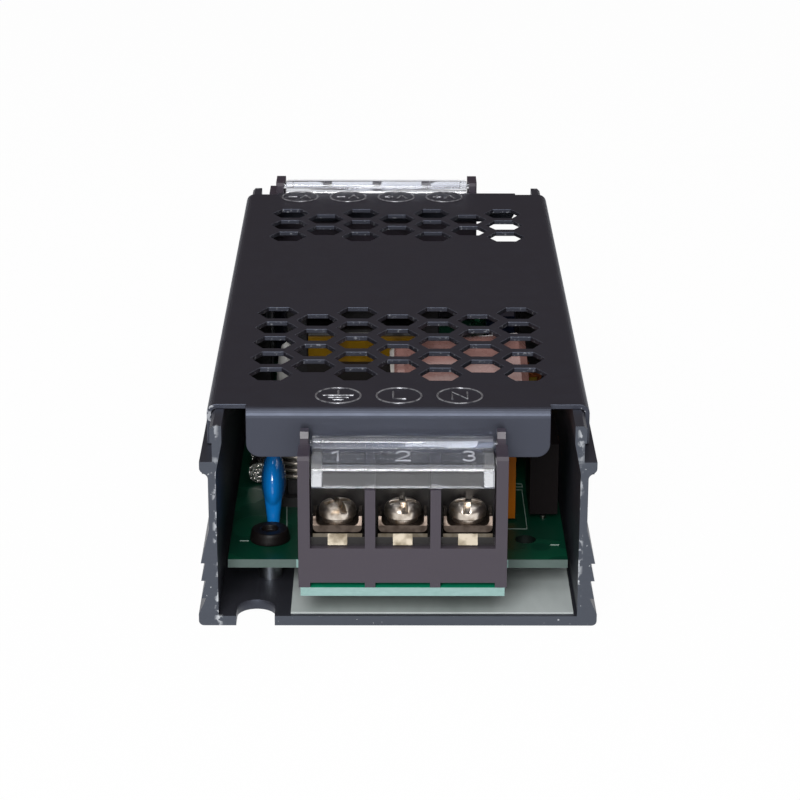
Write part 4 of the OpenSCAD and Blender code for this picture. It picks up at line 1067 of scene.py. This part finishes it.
class Mark(Enum):
    """The generic marks on the cover, each with its strokes."""

    EARTH = (
        ((0.0, 2.2), (0.0, 0.1)),
        ((-2.4, 0.1), (2.4, 0.1)),
        ((-1.6, -0.9), (1.6, -0.9)),
        ((-0.9, -1.9), (0.9, -1.9)),
    )
    LIVE = (((-0.9, 1.7), (-0.9, -1.5), (1.1, -1.5)),)
    NEUTRAL = (((-1.2, -1.6), (-1.2, 1.6), (1.2, -1.6), (1.2, 1.6)),)
    MINUS = (LETTER_V, DASH)
    PLUS = (LETTER_V, DASH, ((1.4, 0.8), (1.4, -0.8)))


@dataclass
class Cover:
    """The folded sheet cover with its pressed marks.

    A row's middle is given across the sheet and from the sheet's end.
    """

    finish: BlackCoat = BlackCoat()
    line: PressedLine = PressedLine()
    edge: float = 0.12
    circle: float = 3.5
    stroke: float = 0.17
    pitch: float = 9.46
    front_marks: tuple[Mark, ...] = (Mark.EARTH, Mark.LIVE, Mark.NEUTRAL)
    front_middle: Point = (0.13, 6.1)
    rear_marks: tuple[Mark, ...] = (Mark.PLUS, Mark.PLUS, Mark.MINUS, Mark.MINUS)
    rear_middle: Point = (-4.8, 4.1)

    def dress(self) -> None:
        """Coats the sheet and presses the marks into it."""
        Nodes.finish("top_cover", self.finish.dress("black_coat"), self.edge)
        box = Box.of_node("top_cover")
        material = self.line.dress("pressed_line")
        (front_x, front_y), (rear_x, rear_y) = self.front_middle, self.rear_middle
        front = Vector((front_x * MM, box.low.y + front_y * MM, box.high.z))
        rear = Vector((rear_x * MM, box.high.y - rear_y * MM, box.high.z))
        self.row("mains_marks", self.front_marks, front, RIGHT, material)
        self.row("output_marks", self.rear_marks, rear, -RIGHT, material)

    def row(
        self, name: str, marks: Sequence[Mark], middle: Vector, right: Vector, material: Material
    ) -> None:
        """Presses one row of marks.

        Args:
            name: The piece's name.
            marks: The marks from left to right, as they are read.
            middle: The row's middle on the sheet.
            right: The way that the row is read.
            material: The lines' finish.
        """
        up = Vector((0, 0, 1)).cross(right)
        strokes: list[Stroke] = []
        for number, mark in enumerate(marks):
            offset = (number - (len(marks) - 1) / 2) * self.pitch * MM
            glyph = Glyph(middle + right * offset, right, up)
            strokes.append(glyph.ring(self.circle))
            strokes += [glyph.line(*points) for points in mark.value]
        Shop.keep(name, Shop.swept(name, strokes, self.stroke), material, "black_sheet")


@dataclass
class Chassis:
    """The extruded channel and the white film on its floor."""

    finish: Extrusion = Extrusion()
    film: FilmSheet = FilmSheet()
    edge: float = 0.12

    def dress(self) -> None:
        """Finishes the channel and the film."""
        Nodes.finish("chassis", self.finish.dress("anodised_extrusion"), self.edge)
        Nodes.finish("insulating_sheet", self.film.dress("white_film"))


@dataclass
class TerminalBlocks:
    """The two screw terminal blocks with their clear covers.

    face is the blocks' distance from the middle, lip the height of a cover's fold over its edge,
    and slope the rise and run of the cover's top. A bay is given by the walls round it, on the low
    sides and on the high ones; its inside is painted dark, as painted shade.
    """

    plastic: MouldedPlastic = MouldedPlastic((48, 41, 52), 0.42, 0.08, 0.65)
    number: MouldedPlastic = MouldedPlastic((164, 166, 174), 0.4, 0.06)
    clear: ClearPlastic = ClearPlastic()
    plate: PlatedMetal = PlatedMetal((150, 142, 128), (128, 118, 100), 0.55)
    clamp: PlatedMetal = PlatedMetal((92, 82, 75), (54, 45, 39), 0.46)
    screw: PlatedMetal = PlatedMetal((222, 212, 200), (128, 112, 94), 0.34, 0.25, (1, 1, 1))
    face: float = 71.2
    tab_depth: float = 1.66
    lip: float = 3.5
    slope: Point = (0.4, 6.25)
    mains_bay: tuple[Triple, Triple] = ((2.0, 1.2, 6.6), (2.0, 4.0, 4.6))
    output_bay: tuple[Triple, Triple] = ((2.0 + DC_RIB, 4.0, 10.6), (2.0, 1.2, 3.2))
    number_stroke: float = 0.17
    number_height: float = 3.4
    number_back: float = 3.4
    number_drop: float = 1.8

    def dress(self) -> None:
        """Finishes both blocks and puts the numbers on the mains cover."""
        # The housings take painted shade inside their bays.
        plastic = replace(self.plastic, shaded_bays=self.shaded_bays()).dress("terminal_plastic")
        # The plates are painted in shade behind their tabs, under the clamps.
        unshaded_from = (self.face - self.tab_depth) * MM
        plate = replace(self.plate, unshaded_from=unshaded_from).dress("tinned_plate")
        clamp = self.clamp.dress("clamp_plating")
        screw = self.screw.dress("screw_plating")
        for end, poles in (("ac", 3), ("dc", 4)):
            Nodes.finish(f"{end}_terminal_housing", plastic, edge=0.15)
            cover = f"{end}_terminal_cover"
            clear = replace(self.clear, fold=Box.of_node(cover).low.z + self.lip * MM)
            Nodes.finish(cover, clear.dress(f"{end}_clear_plastic"), edge=0.26, steps=3)
            Nodes.finish(f"{end}_terminal_tabs", plate, edge=0.06)
            for pole in range(1, poles + 1):
                Nodes.finish(f"{end}_clamp_{pole}", clamp, edge=0.08)
                Nodes.finish(f"{end}_screw_{pole}", screw, edge=0.06)
        self.numbers(self.number.dress("number_plastic"))

    def shaded_bays(self) -> tuple[Box, Box]:
        """The insides of the two blocks' bays, which are painted dark as painted shade."""
        mains, output = Box.of_node("ac_terminal_housing"), Box.of_node("dc_terminal_housing")
        return mains.trimmed(*self.mains_bay), output.trimmed(*self.output_bay)

    def numbers(self, material: Material) -> None:
        """Raises a number over each mains pole.

        Args:
            material: The numbers' finish.
        """
        cover = Box.of_node("ac_terminal_cover")
        slope = math.atan2(*self.slope)
        up = Vector((0, math.cos(slope), math.sin(slope)))
        y, z = cover.low.y + self.number_back * MM, cover.high.z - self.number_drop * MM
        strokes = []
        for pole in (1, 2, 3):
            middle = Vector((Box.of_node(f"ac_screw_{pole}").centre.x, y, z))
            strokes.append(Glyph(middle, RIGHT, up).line(*self.digit(pole)))
        mesh = Shop.swept("pole_numbers", strokes, self.number_stroke)
        Shop.keep("pole_numbers", mesh, material, "clear_plastic", "ac_cover")

    def digit(self, number: int) -> list[Point]:
        """The points of one number's stroke.

        Args:
            number: 1, 2 or 3.

        Returns:
            The points.
        """
        top = self.number_height / 2
        if number == 1:
            return [(-0.9, top - 0.8), (0.1, top), (0.1, -top)]
        if number == 2:
            return [*Glyph.arc(top - 1.0, 1.0, 160, -35), (-1.1, -top), (1.2, -top)]
        return Glyph.arc(top - 0.85, 0.85, 150, -90) + Glyph.arc(0.95 - top, 0.95, 90, -150)


@dataclass
class Board:
    """The circuit board with its posts, rivets, printed outlines and solder.

    Printed frames and dashes are given by their two ends, and the solder by its outline.
    """

    paint: MouldedPlastic = MouldedPlastic((138, 154, 146), 0.55, 0.1)
    rivet: MouldedPlastic = MouldedPlastic((15, 11, 11), 0.46, 0.25, 0.2)
    post: PlatedMetal = PlatedMetal((150, 154, 158), (120, 122, 124), 0.35)
    solder: PlatedMetal = PlatedMetal((190, 192, 194), (150, 152, 154), 0.24)
    rivet_edge: float = 0.2
    tongue_reach: float = 10.8
    tongue_inset: float = 0.3
    tongue_root: float = 0.5
    print_stroke: float = 0.1
    print_margin: float = 0.7
    outlined: tuple[str, ...] = ("control_chip", "optocoupler")
    frames: tuple[Quad, ...] = (
        (-2.2, -47.93, 20.98, -31.0),
        (19.9, -29.7, 21.1, -28.3),
        (-18.9, -32.4, -16.9, -29.4),
    )
    dashes: tuple[Quad, ...] = (
        (24.4, -54.5, 25.8, -54.5),
        (-25.3, -53.0, -23.9, -53.0),
        (-18.4, -36.0, -18.0, -46.8),
    )
    soldered: tuple[str, ...] = (
        "safety_capacitor", "line_capacitor", "varistor", "thermistor", "fuse_caps", "choke_base",
        "bridge_rectifier", "bulk_capacitor", "transformer_bobbin", "switch_transistor",
        "output_rectifier", "output_choke_winding", "output_capacitor_1", "output_capacitor_2",
        "output_capacitor_3", "control_chip", "optocoupler", "resistors", "indicator_lamp",
        "trimmer_body", "ac_terminal_tabs", "dc_terminal_tabs",
    )
    cone: tuple[Point, ...] = (
        (1.25, 0.0), (1.2, -0.06), (0.8, -0.25), (0.56, -0.6), (0.5, -1.1), (0.3, -1.5),
        (0.0, -1.55),
    )
    cone_sides: int = 14
    lead_gap: float = 1.3
    tip_depth: float = 0.01

    def dress(self) -> None:
        """Finishes the board and adds its outlines and solder."""
        box = Box.of_node("circuit_board")
        lacquer = BoardLacquer(box, self.tongues(box), self.tongue_reach)
        Nodes.finish("circuit_board", lacquer.dress("board_lacquer"))
        Nodes.finish("board_rivets", self.rivet.dress("rivet_nylon"), self.rivet_edge)
        Nodes.finish("board_standoffs", self.post.dress("post_metal"))
        self.outlines(box.high.z)
        self.joints(box.low.z)

    def tongues(self, box: Box) -> tuple[Box, Box]:
        """The two board tongues under the terminal blocks.

        Args:
            box: The board's box.

        Returns:
            The tongue at the mains end and the one at the output end.
        """
        inset = RIGHT * self.tongue_inset * MM
        reach = (self.tongue_reach + self.tongue_root) * MM
        (near, far), (bottom, top) = (box.low.y, box.high.y), (box.low.z, box.high.z)
        mains, output = Box.of_node("ac_terminal_housing"), Box.of_node("dc_terminal_housing")
        left = output.low.x + DC_RIB * MM
        return (
            Box(
                Vector((mains.low.x, near, bottom)) + inset,
                Vector((mains.high.x, near + reach, top)) - inset,
            ),
            Box(
                Vector((left, far - reach, bottom)) + inset,
                Vector((output.high.x, far, top)) - inset,
            ),
        )

    def outlines(self, level: float) -> None:
        """Prints plain outlines and dashes.

        Args:
            level: Height of the board's top, in metres.
        """
        margin = Vector((self.print_margin, self.print_margin, 0)) * MM
        parts = [Box.of_node(node) for node in self.outlined]
        frames = [(*(part.low - margin).xy, *(part.high + margin).xy) for part in parts]
        frames += [tuple(side * MM for side in sides) for sides in self.frames]
        strokes: list[Stroke] = []
        for left, near, right, far in frames:
            corners = ((left, near), (right, near), (right, far), (left, far))
            strokes.append(([Vector((x, y, level)) for x, y in corners], True))
        for dash in self.dashes:
            ends = (dash[:2], dash[2:])
            strokes.append(([Vector((x * MM, y * MM, level)) for x, y in ends], False))
        mesh = Shop.swept("board_print", strokes, self.print_stroke)
        Shop.keep("board_print", mesh, self.paint.dress("board_print"), "white_sheet")

    def tips(self, node: str) -> list[Vector]:
        """Finds where a part's leads come out under the board.

        Args:
            node: The part's node.

        Returns:
            The middle of each lead's tip.
        """
        places = [vertex.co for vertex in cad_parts[node].data.vertices]
        lowest = min(place.z for place in places) + self.tip_depth * MM
        gap = self.lead_gap * MM
        groups: list[list[Vector]] = []
        for place in (place for place in places if place.z <= lowest):
            home = next((group for group in groups if (group[0] - place).length < gap), None)
            if home is None:
                groups.append([place])
            else:
                home.append(place)
        middles = []
        for group in groups:
            low, high = (Vector([end(side) for side in zip(*group)]) for end in (min, max))
            middles.append((low + high) / 2)
        return middles

    def joints(self, level: float) -> None:
        """Solders each lead under the board.

        Args:
            level: Height of the board's underside, in metres.
        """
        tips = [tip for node in self.soldered for tip in self.tips(node)]
        feet = [Vector((tip.x, tip.y, level)) for tip in tips]
        solids = [Shop.turned(self.cone, foot, self.cone_sides) for foot in feet]
        mesh = Shop.joined("solder_joints", solids)
        Shop.keep("solder_joints", mesh, self.solder.dress("solder"), "tinned_plate")


@dataclass
class MainsParts:
    """The parts on the mains side of the board.

    lift is the gap between the board and a part's coating. The can's bare end and foot, its
    stripe, the smear and the dab on the transformer's core are sized by the fields of those names.
    """

    discs: tuple[tuple[str, Colour], ...] = (
        ("safety_capacitor", (12, 118, 198)),
        ("varistor", (52, 92, 150)),
        ("thermistor", (44, 48, 42)),
    )
    boxes: tuple[tuple[str, Colour, float], ...] = (
        ("line_capacitor", (172, 98, 14), 0.45),
        ("bridge_rectifier", (17, 12, 13), 0.5),
    )
    fuse_glass: ClearPlastic = ClearPlastic((240, 246, 245), 0.02, 1.46)
    fuse_caps: PlatedMetal = PlatedMetal(
        (196, 195, 190), (70, 68, 64), 0.2, 0.55, (1, 1, 1), 0.3
    )
    fuse_wire: PlatedMetal = TerminalBlocks.plate
    choke_base: MouldedPlastic = MouldedPlastic((38, 37, 38))
    choke_wire: EnamelledWire = EnamelledWire((168, 160, 148), (40, 34, 30), 6.8 / 6)
    bobbin: MouldedPlastic = MouldedPlastic((30, 26, 25))
    silicone: MouldedPlastic = MouldedPlastic((236, 235, 232), 0.3, 0.04, 0.5, 0.06)
    lift: float = 0.4
    box_edge: float = 0.3
    wire_end: float = 1.5
    wire_sag: float = 0.3
    wire_radius: float = 0.12
    wire_steps: int = 12
    can_end: float = 0.78
    can_foot: float = 3.1
    can_stripe: float = 0.8
    smear: Point = (0.9, 11.0)
    dab_height: float = 9.0
    dab_sides: int = 28
    dab: tuple[Point, ...] = (
        (0.0, -6.0), (0.8, -5.8), (1.4, -5.0), (1.75, -3.2), (1.8, -1.0), (1.6, 1.0), (1.3, 2.8),
        (0.8, 4.2), (0.0, 4.8),
    )

    def dress(self) -> None:
        """Finishes each part."""
        board = Box.of_node("circuit_board").high.z
        coated = board + self.lift * MM
        for node, colour in self.discs:
            Nodes.finish(node, DippedCoating(colour, Box.above(node, coated)).dress(node))
            Nodes.melt(node)
        for node, colour, roughness in self.boxes:
            body = Box.above(node, coated)
            plastic = MouldedPlastic(colour, roughness, drift=0.14, specular=0.12, body=body)
            Nodes.finish(node, plastic.dress(node), self.box_edge, steps=3)
        self.fuse()
        base = replace(self.choke_base, body=Box.above("choke_base", board))
        Nodes.finish("choke_base", base.dress("choke_base"))
        Nodes.finish("choke_core", Ferrite().dress("choke_core"))
        Nodes.finish("choke_windings", self.choke_wire.dress("choke_wire"))
        self.bulk()
        bobbin = replace(self.bobbin, body=Box.above("transformer_bobbin", board))
        Nodes.finish("transformer_bobbin", bobbin.dress("bobbin"))
        self.transformer()

    def fuse(self) -> None:
        """Finishes the fuse and strings its wire."""
        Nodes.finish("fuse_tube", self.fuse_glass.dress("fuse_glass"))
        Nodes.finish("fuse_caps", self.fuse_caps.dress("fuse_caps"))
        box = Box.of_node("fuse_tube")
        middle, half = box.centre, box.size.y / 2 - self.wire_end * MM
        points = []
        for step in range(self.wire_steps + 1):
            share = step / self.wire_steps
            sag = self.wire_sag * MM * math.sin(math.pi * share)
            points.append(Vector((middle.x, middle.y - half + 2 * half * share, middle.z - sag)))
        mesh = Shop.swept("fuse_wire", [(points, False)], self.wire_radius)
        Shop.keep("fuse_wire", mesh, self.fuse_wire.dress("fuse_wire"), "fuse_metal")

    def bulk(self) -> None:
        """Finishes the large can."""
        box = Box.of_node("bulk_capacitor")
        low, high = box.low, box.high
        body = Box(Vector((low.x + self.can_end * MM, low.y, low.z + self.can_foot * MM)), high)
        stripe = Box(body.low, Vector((body.low.x + self.can_stripe * MM, high.y, high.z)))
        sleeve = ShrinkSleeve((154, 114, 107), (226, 222, 216), stripe, body)
        Nodes.finish("bulk_capacitor", sleeve.dress("can_sleeve"))

    def transformer(self) -> None:
        """Finishes the transformer and puts white silicone on the left limb of its core."""
        core = Box.of_node("transformer_core")
        width, height = self.smear
        corner = Vector((core.low.x + width * MM, core.high.y, core.low.z + height * MM))
        ferrite = Ferrite(smear=Box(core.low, corner)).dress("transformer_core")
        Nodes.finish("transformer_core", ferrite, self.box_edge, steps=3)
        tape = WrappedTape(Box.of_node("transformer_winding").high.z)
        Nodes.finish("transformer_winding", tape.dress("yellow_tape"))
        place = Vector((core.low.x, core.low.y, core.low.z + self.dab_height * MM))
        mesh = Shop.joined("silicone_dab", [Shop.turned(self.dab, place, self.dab_sides)])
        Shop.keep("silicone_dab", mesh, self.silicone.dress("silicone"), "white_sheet")


@dataclass
class OutputParts:
    """The parts on the output side of the board.

    Each moulding is a node with its colour, its roughness, its foot over the board and the reach
    of its legs at each side.
    """

    devices: tuple[tuple[str, str], ...] = (
        ("switch", "switch_transistor"),
        ("rectifier", "output_rectifier"),
    )
    device: MouldedPlastic = MouldedPlastic((42, 41, 43), 0.5, 0.2)
    pad: MouldedPlastic = MouldedPlastic((66, 65, 66), 0.6, 0.1)
    clip: PlatedMetal = PlatedMetal((96, 97, 100), (66, 66, 68), 0.36)
    choke_core: MouldedPlastic = MouldedPlastic((200, 186, 70), 0.45, 0.12)
    choke_wire: EnamelledWire = EnamelledWire((190, 104, 52), (70, 32, 14), 40.0)
    can_metal: PlatedMetal = PlatedMetal((190, 192, 196), (168, 170, 174), 0.34)
    rotor: MouldedPlastic = MouldedPlastic((222, 218, 204), 0.45, 0.08)
    mouldings: tuple[tuple[str, Colour, float, float, float], ...] = (
        ("control_chip", (38, 38, 40), 0.5, 0.45, 1.0),
        ("optocoupler", (222, 222, 214), 0.5, 0.45, 1.0),
        ("trimmer_body", (20, 32, 62), 0.36, 0.2, 0.0),
    )
    device_foot: float = 1.0
    resistor_foot: float = 0.35
    resistor_lead: float = 2.2
    lens_foot: float = 1.9
    can_foot: float = 0.1
    can_stripe: float = 0.28
    can_rim: float = 1.0
    can_bare: float = 0.05
    can_rise: float = 0.06
    can_bevel: float = 0.2
    can_sides: int = 32
    cross_share: float = 0.8
    cross_radius: float = 0.14

    def dress(self) -> None:
        """Finishes each part."""
        board = Box.of_node("circuit_board").high.z
        for name, node in self.devices:
            body = Box.above(node, board + self.device_foot * MM)
            Nodes.finish(node, replace(self.device, body=body).dress(node))
            Nodes.finish(f"{name}_pad", self.pad.dress(f"{name}_pad"))
            Nodes.finish(f"{name}_clip", self.clip.dress(f"{name}_clip"))
        Nodes.finish("output_choke_core", self.choke_core.dress("core_coating"))
        Nodes.finish("output_choke_winding", self.choke_wire.dress("copper_wire"))
        for number in (1, 2, 3):
            self.can(f"output_capacitor_{number}", board)
        for node, colour, roughness, foot, leg in self.mouldings:
            body = Box.above(node, board + foot * MM).trimmed((leg, 0, 0))
            plastic = MouldedPlastic(colour, roughness, drift=0.1, body=body)
            Nodes.finish(node, plastic.dress(node))
        body = Box.above("resistors", board + self.resistor_foot * MM)
        lacquer = BandedBody(body.trimmed((self.resistor_lead, 0, 0)))
        Nodes.finish("resistors", lacquer.dress("resistor_lacquer"))
        lens = TintedLens(Box.above("indicator_lamp", board + self.lens_foot * MM))
        Nodes.finish("indicator_lamp", lens.dress("lamp_lens"))
        Nodes.finish("trimmer_rotor", self.rotor.dress("trimmer_rotor"))

    def can(self, node: str, board: float) -> None:
        """Finishes one upright can and presses the relief cross into its top.

        Args:
            node: The can's node.
            board: Height of the board's top, in metres.
        """
        box = Box.above(node, board + self.can_foot * MM)
        edge = box.low.x + box.size.x * self.can_stripe
        stripe = Box(box.low, Vector((edge, box.high.y, box.high.z)))
        body = Box(box.low, box.high - Vector((0, 0, self.can_bare)) * MM)
        sleeve = ShrinkSleeve((44, 48, 66), (176, 180, 190), stripe, body)
        Nodes.finish(node, sleeve.dress(node))
        radius = box.size.x / 2 / MM - self.can_rim
        profile = ((0.0, self.can_rise), (radius, self.can_rise), (radius + self.can_bevel, 0.0))
        middle = Vector((box.centre.x, box.centre.y, box.high.z))
        metal = self.can_metal.dress(f"{node}_top")
        top = Shop.joined(f"{node}_top", [Shop.turned(profile, middle, self.can_sides)])
        Shop.keep(f"{node}_top", top, metal, "fuse_metal")
        glyph = Glyph(middle + Vector((0, 0, self.can_rise)) * MM, RIGHT, Vector((0, 1, 0)))
        reach = radius * self.cross_share
        bars = [glyph.line((-reach, 0), (reach, 0)), glyph.line((0, -reach), (0, reach))]
        cross = Shop.swept(f"{node}_cross", bars, self.cross_radius)
        Shop.keep(f"{node}_cross", cross, metal, "fuse_metal")


@dataclass
class Studio:
    """A pale floor, soft light and the camera at the photograph's viewing angle.

    The eye is in millimetres and the angles are in degrees. Each lamp has a name, a place and a
    side in metres, and a power in watts.
    """

    image: float = 800.0
    sensor: float = 36.0
    focal_pixels: float = 2611.6
    eye: Triple = (-1.447, -438.866, 172.186)
    tilt: float = 19.969
    turn: float = 0.259
    roll: float = -0.172
    clip: Point = (0.01, 100.0)
    aim: Triple = (0.0, 0.0, 0.015)
    lamps: tuple[tuple[str, Triple, float, float], ...] = (
        ("key_panel", (-0.14, -0.85, 0.46), 0.42, 8.6),
        ("top_panel", (0.0, -0.3, 0.85), 0.75, 3.4),
        ("left_panel", (-0.8, 0.35, 0.4), 0.5, 1.3),
        ("right_panel", (0.8, 0.35, 0.4), 0.5, 1.3),
    )
    floor_colour: Colour = (232, 233, 234)
    floor_reach: float = 30.0
    white_share: float = 0.97
    fill: float = 0.12
    fill_tint: Light = (1.0, 0.84, 0.86, 1.0)

    def build(self) -> None:
        """Makes the floor, the lights, the world and the camera."""
        self.floor()
        for lamp in self.lamps:
            self.lamp(*lamp)
        self.world()
        self.camera()

    def floor(self) -> None:
        """Lays a large pale floor under the chassis."""
        solid = bmesh.new()
        bmesh.ops.create_grid(solid, x_segments=8, y_segments=8, size=self.floor_reach)
        mesh = bpy.data.meshes.new("floor")
        solid.to_mesh(mesh)
        solid.free()
        floor = bpy.data.objects.new("floor", mesh)
        bpy.context.scene.collection.objects.link(floor)
        sheet = Sheet("pale_floor")
        matte = sheet.add("BsdfDiffuse", {"Color": linear(self.floor_colour)})
        white = sheet.add("Emission", {})
        share = sheet.times(sheet.seen("Camera", "Transmission", "Glossy"), self.white_share)
        shader = sheet.add("MixShader", {0: share, 1: matte, 2: white})
        sheet.close(shader)
        mesh.materials.append(sheet.owner)

    def lamp(self, name: str, place: Triple, size: float, power: float) -> None:
        """Hangs one soft panel that faces the object.

        Args:
            name: The panel's name.
            place: Where it hangs, in metres.
            size: Its side, in metres.
            power: Its power, in watts.
        """
        light = bpy.data.lights.new(name, "AREA")
        light.shape = "SQUARE"
        light.size = size
        light.energy = power
        holder = bpy.data.objects.new(name, light)
        holder.location = place
        aim = Vector(self.aim) - Vector(place)
        holder.rotation_euler = aim.to_track_quat("-Z", "Y").to_euler()
        bpy.context.scene.collection.objects.link(holder)

    def world(self) -> None:
        """Fills the room with even light and a white background."""
        sheet = Sheet("studio", world=True)
        room = sheet.add("Background", {"Color": self.fill_tint, "Strength": self.fill})
        white = sheet.add("Background", {})
        share = sheet.seen("Camera", "Transmission")
        shader = sheet.add("MixShader", {0: share, 1: room, 2: white})
        sheet.close(shader)
        bpy.context.scene.world = sheet.owner

    def camera(self) -> None:
        """Sets the camera up as the photograph was taken."""
        tilt, turn, roll = (math.radians(angle) for angle in (self.tilt, self.turn, self.roll))
        level = Vector((math.cos(turn), -math.sin(turn), 0.0))
        flat = math.cos(tilt)
        ahead = Vector((math.sin(turn) * flat, math.cos(turn) * flat, -math.sin(tilt)))
        down = ahead.cross(level)
        right = level * math.cos(roll) + down * math.sin(roll)
        up = level * math.sin(roll) - down * math.cos(roll)
        data = bpy.data.cameras.new("camera")
        data.sensor_width = self.sensor
        data.lens = self.focal_pixels / self.image * self.sensor
        data.clip_start, data.clip_end = self.clip
        holder = bpy.data.objects.new("camera", data)
        bpy.context.scene.collection.objects.link(holder)
        turned = Matrix((right, up, -ahead)).transposed().to_4x4()
        holder.matrix_world = Matrix.Translation(Vector(self.eye) * MM) @ turned
        bpy.context.scene.camera = holder


def main() -> None:
    """Builds the sub-assemblies in order."""
    logging.basicConfig(level=logging.INFO, format="%(name)s: %(message)s")
    bpy.context.scene.view_settings.view_transform = "Standard"
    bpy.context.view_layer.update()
    for part in (Chassis(), Cover(), TerminalBlocks(), Board(), MainsParts(), OutputParts()):
        LOG.info("dressing %s", type(part).__name__)
        part.dress()
    Studio().build()


if __name__ == "__main__":
    main()
